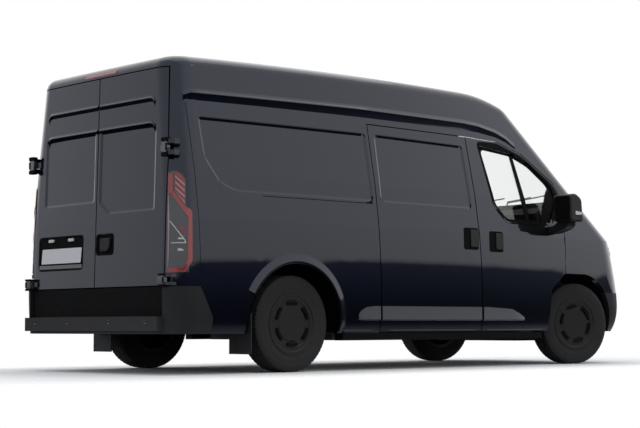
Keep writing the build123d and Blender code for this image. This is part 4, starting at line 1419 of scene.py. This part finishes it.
class VAN_OT_rear_fittings(bpy.types.Operator):
    """Fit the blank plate in its recess with its two lamps, the door handle, the high lamp and the bumper parts"""

    bl_idname = "van.rear_fittings"
    bl_label = "Rear fittings"

    def execute(self, context):
        gloss = finish_of("Gloss black")
        plastic = finish_of("Moulded plastic")
        left = Skin("rear_door_left")
        right = Skin("rear_door_right")
        recess = round_outline((0.155, 0.745), (0.752, 1.003), 0.036)
        frame_in = round_outline((0.176, 0.763), (0.732, 0.984), 0.014)
        rim = skin_patch("plate_frame", left, recess, "rear", 0.0, 0.004, 0.05, hole=frame_in)
        flat = rear_plane(rim, 0.006)
        dress(flat, "rear_door_left", finish_of("Seal rubber"))
        back = slab(
            "plate_housing",
            round_outline((0.168, 0.756), (0.740, 0.992), 0.016),
            0.004,
            rear_place(PLATE_FLOOR_X + 0.004),
            0.001,
        )
        dress(back, "rear_door_left", finish_of("Seal rubber"))
        ledge = slab(
            "plate_ledge",
            [(0.172, 0.758), (0.736, 0.758), (0.736, 0.790), (0.172, 0.790)],
            0.012,
            rear_place(PLATE_FLOOR_X),
            0.003,
        )
        dress(ledge, "rear_door_left", finish_of("Lamp bowl"))
        tilt = Matrix.Translation((PLATE_FLOOR_X - 0.013, 0, 0.856)) @ Matrix.Rotation(
            math.radians(5), 4, "Y"
        )
        plate_place = tilt @ Matrix.Translation((0, 0, -0.856)) @ rear_place(0)
        plate = slab(
            "blank_plate",
            round_outline((0.176, 0.799), (0.696, 0.911), 0.008),
            0.002,
            plate_place,
            0.0006,
        )
        dress(plate, "rear_door_left", finish_of("Blank plate"))
        for i, (low, high) in enumerate(((0.545, 0.612), (0.285, 0.352))):
            lamp = slab(
                f"plate_lamp_{i}",
                round_outline((low, 0.958), (high, 0.982), 0.008),
                0.014,
                rear_place(PLATE_FLOOR_X),
                0.004,
            )
            dress(lamp, "rear_door_left", finish_of("Lamp white"))
        bowl_out = round_outline((-0.228, 0.840), (-0.008, 0.998), 0.032)
        bowl_in = round_outline((-0.211, 0.856), (-0.025, 0.981), 0.016)
        ring = skin_patch("handle_frame", right, bowl_out, "rear", 0.0, 0.004, 0.05, hole=bowl_in)
        dress(rear_plane(ring, 0.005), "rear_door_right", finish_of("Seal rubber"))
        bowl = slab("handle_bowl", bowl_out, 0.003, rear_place(HANDLE_FLOOR_X), 0.001)
        dress(bowl, "rear_door_right", finish_of("Seal rubber"))
        grip = slab(
            "handle_grip",
            smooth_corners(
                [
                    (-0.062, 0.870),
                    (-0.062, 0.964),
                    (-0.180, 0.964),
                    (-0.180, 0.905),
                    (-0.150, 0.870),
                ],
                0.016,
            ),
            0.020,
            rear_place(-2.563),
            0.006,
        )
        dress(grip, "rear_door_right", plastic)
        roof_skin = Skin("high_brake_lamp")
        lens = skin_patch(
            "high_lamp_lens",
            roof_skin,
            round_outline((-0.196, 2.1535), (0.196, 2.1805), 0.006),
            "rear",
            0.0005,
            0.003,
            0.03,
        )
        dress(lens, "body", finish_of("High lamp lens"))
        bumper = Skin("rear_bumper")
        for i, y in enumerate(SENSOR_PLACES):
            place, _ = bumper.hit((-5, y, SENSOR_HEIGHT), (1, 0, 0))
            eye = lathe(
                f"park_sensor_{i}",
                [
                    (-0.002, 0.0145),
                    (0.0015, 0.0140),
                    (0.0022, 0.0125),
                    (0.0016, 0.0112),
                    (0.0016, 0.001),
                ],
                place,
                (-1, 0, 0),
                32,
            )
            dress(eye, "body", gloss)
        ribs = []
        for i in range(7):
            x = -2.628 + i * 0.0085
            ribs.append(
                slab(
                    f"rib_{i}",
                    [(x, -0.62), (x + 0.004, -0.62), (x + 0.004, 0.62), (x, 0.62)],
                    0.0022,
                    Matrix.Translation((0, 0, 0.3998)),
                    0.0008,
                )
            )
        dress(join("step_tread", ribs), "body", plastic)
        return {"FINISHED"}


def rear_place(x):
    """Where an outline of (across, up) pairs stands on the rear face, its depth going back."""
    return Matrix(((0, 0, -1, x), (1, 0, 0, 0), (0, 1, 0, 0), (0, 0, 0, 1)))


def rear_plane(piece, edge):
    """Round a rear piece's edges."""
    return rounded(piece, edge * 0.2, 2)


HINGES = [
    # name, middle height, half height, height of a black cap
    ("upper", 1.560, 0.066, 0.028),
    ("lower", 0.648, 0.044, 0.014),
]


def hinge_line(height):
    """Where the right rear door's hinge line passes a height."""
    joint = next(j for j in frame["joints"] if j["name"] == "rear_door_right_hinge")
    place, axis = Vector(joint["pos_m"]), Vector(joint["axis"])
    return place + axis * (height - place.z) / axis.z


class VAN_OT_hinges(bpy.types.Operator):
    """Put black caps and a grey sleeve on each of the rear doors' hinges"""

    bl_idname = "van.hinges"
    bl_label = "Rear hinges"

    def execute(self, context):
        bodies = ("body", "body")
        for name, middle, half, cap in HINGES:
            centre = hinge_line(middle)
            low, high = centre.y - 0.040, centre.y + 0.026
            caps = [
                slab(
                    f"cap_{i}",
                    smooth_corners(
                        [(low, a), (high, a), (high, a + cap), (low, a + cap)], 0.008, 3
                    ),
                    0.038,
                    rear_place(centre.x + 0.019),
                    0.004,
                )
                for i, a in enumerate((middle - half, middle + half - cap))
            ]
            both_sides(
                join(f"hinge_caps_{name}_right", caps),
                bodies,
                finish_of("Seal rubber"),
            )
            inner = half - cap
            sleeve = slab(
                f"hinge_sleeve_{name}_right",
                smooth_corners(
                    [(low + 0.004, middle - inner), (high - 0.002, middle - inner),
                     (high - 0.002, middle + inner), (low + 0.004, middle + inner)], 0.004, 2),
                0.032,
                rear_place(centre.x + 0.016),
                0.006,
            )
            both_sides(sleeve, bodies, finish_of("Lamp bowl"))
            clip = slab(
                f"hinge_clip_{name}_right",
                round_outline(
                    (low + 0.002, middle - inner * 0.7), (low + 0.018, middle + inner * 0.7), 0.004
                ),
                0.003,
                rear_place(centre.x - 0.0165),
                0.001,
            )
            both_sides(
                clip, ("rear_door_right", "rear_door_left"), finish_of("Seal rubber")
            )
        return {"FINISHED"}


WINDOW_OUTLINE = [
    (0.570, 1.815),
    (0.985, 1.776),
    (1.220, 1.700),
    (1.480, 1.535),
    (1.530, 1.420),
    (1.420, 1.200),
    (0.850, 1.192),
    (0.698, 1.322),
]
FRAME_OUTLINE = [
    (0.556, 1.846),
    (0.815, 1.852),
    (1.130, 1.768),
    (1.509, 1.554),
    (1.588, 1.445),
    (1.546, 1.300),
    (1.440, 1.182),
    (0.842, 1.176),
    (0.682, 1.312),
]


class VAN_OT_door_trim(bpy.types.Operator):
    """Trim the cab doors' windows, and fit the handles, the black corners by the mirrors and the rail"""

    bl_idname = "van.door_trim"
    bl_label = "Door trim"

    def execute(self, context):
        doors = ("cab_door_right", "cab_door_left")
        door = Skin("cab_door_right")
        glass = Skin("door_glass_right")
        window = smooth_corners(WINDOW_OUTLINE, 0.05, 5)
        frame_outline = smooth_corners(FRAME_OUTLINE, 0.05, 5)
        trim = skin_patch(
            "window_trim_right",
            door,
            frame_outline,
            "right",
            0.0006,
            0.002,
            0.06,
            hole=inset(window, -0.001),
        )
        both_sides(trim, doors, finish_of("Seal rubber"))
        band = skin_patch(
            "window_frit_right",
            glass,
            inset(window, 0.001),
            "right",
            0.0004,
            0.001,
            0.06,
            hole=smooth_corners(
                [
                    (0.604, 1.782),
                    (0.985, 1.752),
                    (1.205, 1.677),
                    (1.436, 1.526),
                    (1.476, 1.425),
                    (1.398, 1.222),
                    (0.858, 1.214),
                    (0.722, 1.330),
                ],
                0.05,
                5,
            ),
        )
        both_sides(band, doors, finish_of("Seal rubber"))
        bar = skin_patch(
            "window_bar_right",
            glass,
            [
                (0.972, 1.770),
                (1.016, 1.757),
                (1.132, 1.316),
                (1.140, 1.205),
                (1.096, 1.204),
                (1.074, 1.313),
            ],
            "right",
            0.0006,
            0.006,
            0.05,
        )
        both_sides(rounded(bar, 0.002, 2), doors, finish_of("Seal rubber"))
        corner = skin_patch(
            "mirror_sail_right", glass,
            [(1.300, 1.212), (1.398, 1.222), (1.476, 1.425), (1.436, 1.500), (1.395, 1.440)],
            "right", 0.0008, 0.004, 0.05,
        )
        both_sides(corner, doors, finish_of("Seal rubber"))
        self.handles(doors)
        self.rail()
        return {"FINISHED"}

    def handles(self, doors):
        """Handles: a dark bowl in its rim, and a grip."""
        for name, bodies, node, low, high in (
            ("cab_handle", doors, "cab_door_right", (0.603, 0.934), (0.774, 1.104)),
            ("slide_handle", ("body", None), "sliding_door", (0.290, 0.944), (0.467, 1.121)),
        ):
            skin = Skin(node)
            outline = round_outline(low, high, 0.022)
            rim = skin_patch(
                f"{name}_rim_right",
                skin,
                outline,
                "right",
                0.0002,
                0.0022,
                0.06,
                hole=inset(outline, 0.007),
            )
            bowl = skin_patch(
                f"{name}_bowl_right", skin, inset(outline, 0.004), "right", 0.0002, 0.001, 0.06
            )
            grip_outline = round_outline(
                (low[0] + 0.078, low[1] + 0.022), (high[0] - 0.010, high[1] - 0.014), 0.012
            )
            grip = rounded(
                skin_patch(f"{name}_grip_right", skin, grip_outline, "right", 0.001, 0.007, 0.05),
                0.003,
                3,
            )
            rubber, plastic = finish_of("Seal rubber"), finish_of("Moulded plastic")
            for piece, slot, finish in (
                (rim, "gloss_black", rubber),
                (bowl, "gloss_black", rubber),
                (grip, "black_plastic", plastic),
            ):
                if bodies[1]:
                    both_sides(piece, bodies, finish)
                else:
                    dress(piece, bodies[0], finish)

    def rail(self):
        """The sliding door's rail in its slot."""
        skin = Skin("body_side_right")
        rail = skin_patch(
            "door_rail",
            skin,
            [(-1.812, 1.2545), (-1.812, 1.2765), (-0.728, 1.2785), (-0.728, 1.2565)],
            "right",
            0.0002,
            0.0014,
            0.08,
        )
        dress(rail, "body", finish_of("Seal rubber"))


def side_place(y):
    """Where an outline of (along, up) pairs stands on the right side, its depth going out."""
    return Matrix(((1, 0, 0, 0), (0, 0, -1, y), (0, 1, 0, 0), (0, 0, 0, 1)))


DRIP_FOLD = [
    (-2.452, 1.892, 1.930),
    (-2.400, 1.900, 1.950),
    (-1.810, 1.910, 1.962),
    (-0.806, 1.923, 1.982),
    (0.418, 1.927, 1.984),
    (0.600, 1.925, 1.974),
    (0.829, 1.901, 1.938),
    (0.958, 1.868, 1.897),
    (1.065, 1.822, 1.838),
]
SCOOP_FOLD = [
    (-0.868, 0.390, 0.418),
    (-0.845, 0.388, 0.448),
    (-0.790, 0.386, 0.474),
    (-0.700, 0.386, 0.483),
    (0.600, 0.386, 0.484),
    (0.900, 0.386, 0.470),
    (1.010, 0.387, 0.430),
    (1.070, 0.388, 0.400),
]
SCOOP_PANELS = [
    # name, node, body, first and last place along the side
    ("scoop_rear", "body_side_right", "body", -0.868, -0.600),
    ("scoop_slide", "sliding_door", "body", -0.625, 0.560),
    ("scoop_cab", "cab_door_right", "cab_door_right", 0.500, 1.070),
]


def between(stations, low, high):
    """The stretch of a fold between two places along it."""
    def at(place):
        for start, end in zip(stations, stations[1:]):
            if start[0] <= place <= end[0]:
                t = (place - start[0]) / (end[0] - start[0])
                return tuple(a + (b - a) * t for a, b in zip(start, end))
        return stations[0] if place < stations[0][0] else stations[-1]

    return [at(low), *[s for s in stations if low < s[0] < high], at(high)]


def on_panel(skin, place, step):
    """The first place, stepping inwards along the side, where a panel has skin for the scoop."""
    while abs(place) < 3:
        hits = [
            skin.hit((place, -FAR, height), (0, 1, 0))[0] for height in (0.350, 0.400, 0.450, 0.500)
        ]
        if all(hit is not None and hit.y < -0.88 for hit in hits):
            return place
        place += step
    return place


SILL_LIP_HEIGHT = 0.299
FLARE_STEPS = 48
FLARE_SECTION = [
    # radius about the rear wheel, how far it stands off the skin
    (0.4365, 0.0),
    (0.4370, 0.009),
    (0.443, 0.013),
    (0.455, 0.012),
    (0.475, 0.006),
    (0.505, 0.0),
]
RIB_ENDS = [
    # place across, how far a rib's low and high edges have dropped
    (0.012, 0, 0),
    (0.620, 0, 0),
    (0.646, 0.006, 0.006),
    (0.660, 0.024, 0.020),
    (0.664, 0.040, 0.034),
]
REAR_RIBS = [
    # name, low and high edge
    ("rib", 1.899, 1.926),
    ("brow", 1.719, 1.748),
]


class VAN_OT_folds(bpy.types.Operator):
    """Fold the drip line, the sill scoop and the rear doors' ribs, and flare the arches"""

    bl_idname = "van.folds"
    bl_label = "Body folds"

    def execute(self, context):
        paint = finish_of("Van paint")
        upper = Skin("roof", "body_side_right", "cab_top", "sliding_door", "cab_door_right")
        drip = fold("drip_fold_right", upper, DRIP_FOLD, "right", 0.013, True)
        both_sides(drip, ("body", "body"), paint)
        for name, node, body, low, high in SCOOP_PANELS:
            skin = Skin(node)
            low, high = on_panel(skin, low, 0.002), on_panel(skin, high, -0.002)
            piece = fold(
                f"{name}_right", skin, between(SCOOP_FOLD, low, high), "right", 0.014, False
            )
            other = body.replace("_right", "_left")
            both_sides(piece, (body, other), paint)
        for side, sign in (("left", 1), ("right", -1)):
            door = Skin(f"rear_door_{side}")
            for name, low, high in REAR_RIBS:
                stations = [(sign * y, low - a, high - b) for y, a, b in RIB_ENDS]
                piece = fold(f"{name}_{side}", door, stations, "rear", 0.008, True, 0.02, 0.02)
                dress(piece, f"rear_door_{side}", paint)
        seam = skin_patch(
            "quarter_seam_right",
            Skin("body_side_right"),
            [(-2.371, 0.716), (-2.437, 1.880), (-2.4335, 1.880), (-2.3675, 0.716)],
            "right", 0.0002, 0.0006, 0.06,
        )
        both_sides(seam, ("body", "body"), finish_of("Seal rubber"))
        self.flares(paint)
        self.sill_lips(paint)
        return {"FINISHED"}

    def flares(self, paint):
        """The lips that stand out round the wheel arches."""
        rear_skin = Skin("body_side_right", "sliding_door", "rear_bumper")
        wheel = next(j for j in WHEELS if "rear_right" in j["name"])
        centre = Vector(wheel["pos_m"])
        rows = []
        for k in range(FLARE_STEPS + 1):
            angle = math.radians(-8 + 160 * k / FLARE_STEPS)
            row = []
            for radius, lift in FLARE_SECTION:
                x = centre.x + radius * math.cos(angle)
                z = centre.z + radius * math.sin(angle)
                place, _ = rear_skin.hit((x, -FAR, z), (0, 1, 0))
                if place is None or place.y > -0.85:
                    place = Vector((x, -0.955 if z < 0.6 else -0.985, z))
                row.append(place + Vector((0, -lift, 0)))
            rows.append(row)
        both_sides(
            band_of("flare_rear_right", rows, Vector((0, -1, 0))), ("body", "body"), paint
        )

    def sill_lips(self, paint):
        """The bright rounded lip under the doors."""
        for name, node, body, low, high in SCOOP_PANELS:
            skin = Skin(node)
            low = -1.02 if node == "body_side_right" else low
            high = 1.42 if node == "cab_door_right" else high
            route = []
            count = max(2, round((high - low) / 0.1))
            for i in range(count + 1):
                x = low + (high - low) * i / count
                place, _ = skin.hit((x, -FAR, SILL_LIP_HEIGHT), (0, 1, 0))
                if place is not None:
                    route.append(place + Vector((0, -0.001, 0)))
            lip = tube(f"sill_lip_{name.split('_')[1]}_right", route, 0.0045, 16)
            both_sides(lip, (body, body.replace("_right", "_left")), paint)


MIRROR_X = 1.435
MIRROR_HEAD = [
    (MIRROR_X - 0.092, 1.205),
    (MIRROR_X - 0.096, 1.432),
    (MIRROR_X - 0.020, 1.444),
    (MIRROR_X + 0.060, 1.400),
    (MIRROR_X + 0.078, 1.205),
]
MIRROR_ARM = [
    (-0.955, 1.112),
    (-1.060, 1.116),
    (-1.180, 1.150),
    (-1.215, 1.206),
    (-1.085, 1.208),
    (-1.040, 1.176),
    (-0.955, 1.172),
]
MIRROR_BASE = [
    (MIRROR_X - 0.430, 1.122),
    (MIRROR_X - 0.330, 1.166),
    (MIRROR_X + 0.030, 1.168),
    (MIRROR_X + 0.060, 1.150),
    (MIRROR_X - 0.080, 1.100),
    (MIRROR_X - 0.250, 1.112),
]


MIRROR_GLASSES = [
    # name, low and high corner across and up
    ("mirror_glass", (-1.248, 1.268), (-1.098, 1.416)),
    ("mirror_wide_glass", (-1.248, 1.222), (-1.098, 1.258)),
]


class VAN_OT_mirrors(bpy.types.Operator):
    """Hang the door mirrors on their arms, with two glasses and an indicator each"""

    bl_idname = "van.mirrors"
    bl_label = "Mirrors"

    def execute(self, context):
        doors = ("cab_door_right", "cab_door_left")
        plastic = finish_of("Moulded plastic")
        head = slab(
            "mirror_head_right",
            smooth_corners(MIRROR_HEAD, 0.030, 5),
            0.184,
            side_place(-1.078),
            0.016,
            4,
        )
        arm_place = Matrix(((0, 0, 1, MIRROR_X - 0.060), (1, 0, 0, 0), (0, 1, 0, 0), (0, 0, 0, 1)))
        arm = slab(
            "mirror_arm_right", smooth_corners(MIRROR_ARM, 0.030, 4), 0.110, arm_place, 0.012, 3
        )
        base = skin_patch(
            "mirror_base_right",
            Skin("cab_door_right"),
            smooth_corners(MIRROR_BASE, 0.010, 3),
            "right",
            0.0002,
            0.010,
            0.05,
        )
        housing, other = both_sides(head, doors, plastic)
        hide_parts("mirror_right")
        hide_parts("mirror_left")
        both_sides(arm, doors, plastic)
        both_sides(rounded(base, 0.003, 2), doors, finish_of("Seal rubber"))
        rear_x = MIRROR_X - 0.0955
        margin = 0.006
        for name, low, high in MIRROR_GLASSES:
            outline = round_outline(
                (low[0] - margin, low[1] - margin), (high[0] + margin, high[1] + margin), 0.020
            )
            surround = slab(f"{name}_seat_right", outline, 0.005, rear_place(rear_x), 0.001)
            glass = slab(
                f"{name}_right",
                round_outline(low, high, 0.016),
                0.003,
                rear_place(rear_x - 0.0012),
                0.0008,
            )
            both_sides(surround, doors, finish_of("Seal rubber"))
            both_sides(glass, doors, finish_of("Mirror glass"))
        lamp = slab(
            "side_indicator_right",
            smooth_corners([(1.405, 1.262), (1.405, 1.296), (1.488, 1.288), (1.492, 1.266)], 0.008),
            0.004, side_place(-1.2590), 0.0012,
        )
        both_sides(lamp, doors, finish_of("Lamp white"))
        return {"FINISHED"}


DOOR_PRESSING_LEFT = [(0.690, 1.735), (0.690, 1.225), (0.030, 1.225), (0.030, 1.745)]
DOOR_PRESSING_RIGHT = [
    (-0.030, 1.745), (-0.690, 1.735), (-0.690, 1.135), (-0.150, 1.135), (-0.030, 1.218)
]
SIDE_PRESSING = [
    (-2.350, 1.785),
    (-0.750, 1.795),
    (-0.720, 1.275),
    (-2.060, 1.275),
    (-2.200, 1.330),
    (-2.320, 1.500),
]
SLIDING_PRESSING = [(-0.655, 1.797), (0.365, 1.790), (0.405, 1.275), (-0.640, 1.275)]


PRESSINGS = [
    # name, node, body, outline, view, radius of its corners
    ("edge_rear_left", "rear_door_left", "rear_door_left", DOOR_PRESSING_LEFT, "rear", 0.028),
    ("edge_rear_right", "rear_door_right", "rear_door_right", DOOR_PRESSING_RIGHT, "rear", 0.028),
    ("edge_side_right", "body_side_right", "body", SIDE_PRESSING, "right", 0.05),
    ("edge_side_left", "body_side_left", "body", SIDE_PRESSING, "left", 0.05),
    ("edge_slide_right", "sliding_door", "body", SLIDING_PRESSING, "right", 0.05),
    ("edge_slide_left", "body_side_left", "body", SLIDING_PRESSING, "left", 0.05),
]


class VAN_OT_pressings(bpy.types.Operator):
    """Roll the edges of the pressings in the side and rear panels"""

    bl_idname = "van.pressings"
    bl_label = "Pressing edges"

    def execute(self, context):
        paint = finish_of("Van paint")
        for name, node, body, outline, view, radius in PRESSINGS:
            ring = evenly(smooth_corners(outline, radius, 6), 0.03)
            edge = rolled_edge(name, Skin(node), ring, view)
            dress(edge, body, paint)
        return {"FINISHED"}


SEAT_X = 0.900
SEATS = [
    # name, middle across, width, head restraints across
    ("driver", 0.480, 0.480, (0.480,)),
    ("bench", -0.395, 0.900, (-0.180, -0.610)),
]
SEAT_CUSHION = [(-0.205, 0.905), (-0.190, 1.000), (0.230, 1.022), (0.268, 0.985), (0.262, 0.915)]
SEAT_BACK = [
    (-0.212, 0.990),
    (-0.372, 1.500),
    (-0.348, 1.532),
    (-0.296, 1.520),
    (-0.122, 1.030),
    (-0.140, 0.995),
]
SEAT_HEAD = [(-0.395, 1.565), (-0.392, 1.690), (-0.350, 1.698), (-0.302, 1.675), (-0.300, 1.575)]
SEAT_PLINTH = [(-0.200, 0.602), (-0.200, 0.890), (0.250, 0.890), (0.180, 0.602)]


def across_slab(name, outline, low, high, edge):
    """A block with an outline seen from the side, from one place across the van to another."""
    place = Matrix(((1, 0, 0, SEAT_X), (0, 0, -1, high), (0, 1, 0, 0), (0, 0, 0, 1)))
    return slab(name, smooth_corners(outline, 0.02, 4), high - low, place, edge, 4)


def puff(piece, cap, voxel=0.010):
    """Blow a block up into a padded cushion with cloth, each point moving at most the cap."""
    remesh = piece.modifiers.new("even", "REMESH")
    remesh.mode = "VOXEL"
    remesh.voxel_size = voxel
    apply_modifiers(piece)
    scene = bpy.context.scene
    start = [vertex.co.copy() for vertex in piece.data.vertices]
    cloth = piece.modifiers.new("puff", "CLOTH")
    cloth.settings.use_pressure = True
    cloth.settings.uniform_pressure_force = 4
    cloth.settings.effector_weights.gravity = 0
    for number in range(1, 21):
        scene.frame_set(number)
    shape = piece.evaluated_get(bpy.context.evaluated_depsgraph_get())
    moved = [vertex.co.copy() for vertex in shape.data.vertices]
    piece.modifiers.clear()
    scene.frame_set(1)
    for vertex, before, after in zip(piece.data.vertices, start, moved):
        step = after - before
        vertex.co = before + step * min(1, cap / max(step.length, 1e-9))
    piece.data.update()
    return piece


def sew(piece, lines, depth=0.007, width=0.010):
    """Press sewn channels into a cushion along lines, each a function giving the distance."""
    for vertex in piece.data.vertices:
        pull = max(math.exp(-((line(vertex.co) / width) ** 2)) for line in lines)
        vertex.co -= vertex.normal * depth * pull
    smooth = piece.modifiers.new("smooth", "SUBSURF")
    smooth.levels = 1
    apply_modifiers(piece)
    piece.data.polygons.foreach_set("use_smooth", [True] * len(piece.data.polygons))
    return piece


class VAN_OT_seats(bpy.types.Operator):
    """Upholster the driver's seat and the double bench with padded cloth"""

    bl_idname = "van.seats"
    bl_label = "Seats"

    def execute(self, context):
        for name, middle, width, heads in SEATS:
            low, high = middle - width / 2 + 0.012, middle + width / 2 - 0.012
            plinth = across_slab(f"plinth_{name}", SEAT_PLINTH, low + 0.03, high - 0.03, 0.01)
            dress(plinth, "body", finish_of("Interior plastic"))
            bolsters = [lambda p, y=y: p.y - y for y in (low + 0.085, high - 0.085)]
            if name == "bench":
                bolsters.append(lambda p, y=middle: p.y - y)
            for part, outline, seams in (
                ("cushion", SEAT_CUSHION, (0.0, 0.13)),
                ("backrest", SEAT_BACK, (1.16, 1.34)),
            ):
                pad = puff(across_slab(f"{part}_{name}", outline, low, high, 0.02), 0.016)
                if part == "cushion":
                    lines = bolsters + [lambda p, x=x: p.x - SEAT_X - x for x in seams]
                else:
                    lines = bolsters + [lambda p, z=z: p.z - z for z in seams]
                self.upholster(sew(pad, lines))
                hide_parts("seats")
            for number, y in enumerate(heads):
                block = across_slab(
                    f"headrest_{name}_{number}", SEAT_HEAD, y - 0.125, y + 0.125, 0.02
                )
                self.upholster(sew(puff(block, 0.008), [lambda p, y=y: abs(p.y - y) - 0.09], 0.003))
                posts = [
                    tube(
                        f"post_{side}",
                        [
                            (SEAT_X - 0.342, y + side * 0.06, 1.49),
                            (SEAT_X - 0.347, y + side * 0.06, 1.60),
                        ],
                        0.006,
                    )
                    for side in (-1, 1)
                ]
                rods = join(f"headrest_posts_{name}_{number}", posts)
                dress(rods, "body", finish_of("Bare steel"))
        return {"FINISHED"}

    def upholster(self, pad):
        dress(pad, "body", finish_of("Woven cloth"))


FRONT_SLOTS = [
    # name, node, number of slots, lowest slot's height, half width, how much each slot adds to it
    ("grille", "nose_panel", 5, 0.735, 0.430, 0.006),
    ("intake", "front_bumper", 3, 0.345, 0.560, 0.010),
]
SLOT_PITCH = 0.044
SLOT_HEIGHT = 0.026
GRILLE_TOP_EXTRA = 0.008
WIPERS = [
    # name, and the blade's two ends across the van and up
    ("left", (0.60, 1.462), (-0.02, 1.500)),
    ("right", (-0.02, 1.462), (-0.62, 1.500)),
]
HEADLAMP_PARTS = [
    # name, outline across and up, depth, finish
    (
        "bowl",
        [(-0.930, 0.950), (-0.930, 1.030), (-0.700, 1.020), (-0.690, 0.960)],
        0.001,
        "Lamp bowl",
    ),
    (
        "guide",
        [(-0.925, 1.012), (-0.925, 1.024), (-0.705, 1.014), (-0.705, 1.004)],
        0.003,
        "Lamp white",
    ),
    (
        "lens",
        [(-0.900, 0.962), (-0.900, 0.996), (-0.860, 0.996), (-0.860, 0.962)],
        0.004,
        "Lamp white",
    ),
    (
        "lens_inner",
        [(-0.830, 0.964), (-0.830, 0.994), (-0.790, 0.992), (-0.790, 0.966)],
        0.004,
        "Lamp white",
    ),
]


class VAN_OT_front(bpy.types.Operator):
    """Slot the grille and the lower intake, lay bowls, guides and lenses on the headlamps and lay the wipers"""

    bl_idname = "van.front"
    bl_label = "Front"

    def execute(self, context):
        rubber = finish_of("Seal rubber")
        plastic = finish_of("Moulded plastic")
        for name, node, rows, start, half, growth in FRONT_SLOTS:
            skin = Skin(node)
            for row in range(rows):
                wide = half + growth * row + (GRILLE_TOP_EXTRA if row == 4 else 0)
                low = start + SLOT_PITCH * row
                outline = round_outline((-wide, low), (wide, low + SLOT_HEIGHT), 0.010)
                slot = skin_patch(
                    f"{name}_slot_{row}", skin, outline, "front", 0.0002, 0.0010, 0.04
                )
                dress(slot, "body", rubber)
                if name == "grille":
                    outline = round_outline((-wide, low + 0.0275), (wide, low + 0.0415), 0.006)
                    bar = skin_patch(
                        f"grille_bar_{row}", skin, outline, "front", 0.0002, 0.0060, 0.04
                    )
                    dress(rounded(bar, 0.002, 2), "body", plastic)
        screen = Skin("windscreen")
        for name, start, end in WIPERS:
            route = []
            for i in range(9):
                t = i / 8
                y = start[0] + (end[0] - start[0]) * t
                z = start[1] + (end[1] - start[1]) * t
                place, _ = screen.hit((5, y, z), (-1, 0, 0))
                if place is not None:
                    route.append(place + Vector((0.008, 0, 0.008)))
            if len(route) > 1:
                dress(
                    tube(f"wiper_blade_{name}", route, 0.006, 12), "body", rubber
                )
                arm = [
                    route[0] + Vector((0.012, 0.02, -0.035)),
                    route[0] + Vector((0.008, 0, 0.010)),
                    route[len(route) // 2] + Vector((0.006, 0, 0.010)),
                ]
                dress(tube(f"wiper_arm_{name}", arm, 0.007, 12), "body", plastic)
        lamps = Skin("headlamps")
        for name, outline, depth, finish in HEADLAMP_PARTS:
            piece = skin_patch(
                f"head_{name}_right",
                lamps,
                smooth_corners(outline, 0.008, 3),
                "front",
                0.0004,
                depth,
                0.03,
            )
            both_sides(piece, ("body", "body"), finish_of(finish))
        return {"FINISHED"}


class VAN_PT_panel(bpy.types.Panel):
    """The van's steps, in the sidebar of the 3D view"""

    bl_idname = "VAN_PT_panel"
    bl_label = "Panel Van"
    bl_space_type = "VIEW_3D"
    bl_region_type = "UI"
    bl_category = "Panel Van"

    def draw(self, context):
        layout = self.layout
        for settings in (
            context.scene.van_finish, context.scene.van_wheel, context.scene.van_stage
        ):
            box = layout.box()
            for label in settings.bl_rna.properties.keys():
                if label not in ("rna_type", "name"):
                    box.prop(settings, label)
        for operator in OPERATORS:
            layout.operator(operator.bl_idname)


OPERATORS = [
    VAN_OT_stage,
    VAN_OT_finishes,
    VAN_OT_wheels,
    VAN_OT_tail_lamps,
    VAN_OT_rear_fittings,
    VAN_OT_hinges,
    VAN_OT_door_trim,
    VAN_OT_pressings,
    VAN_OT_folds,
    VAN_OT_mirrors,
    VAN_OT_seats,
    VAN_OT_front,
]
SETTINGS = {
    "van_finish": FinishSettings,
    "van_wheel": WheelSettings,
    "van_stage": StageSettings,
}


def register():
    """Register the settings, the operators and the panel."""
    for name, group in SETTINGS.items():
        bpy.utils.register_class(group)
        setattr(bpy.types.Scene, name, bpy.props.PointerProperty(type=group))
    for operator in OPERATORS:
        bpy.utils.register_class(operator)
    bpy.utils.register_class(VAN_PT_panel)


def unregister():
    """Take everything out again."""
    bpy.utils.unregister_class(VAN_PT_panel)
    for operator in reversed(OPERATORS):
        bpy.utils.unregister_class(operator)
    for name, group in SETTINGS.items():
        delattr(bpy.types.Scene, name)
        bpy.utils.unregister_class(group)


def main():
    """Build the whole dressed van."""
    register()
    for operator in OPERATORS:
        group, call = operator.bl_idname.split(".")
        getattr(getattr(bpy.ops, group), call)()
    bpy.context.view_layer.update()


if __name__ == "__main__":
    main()
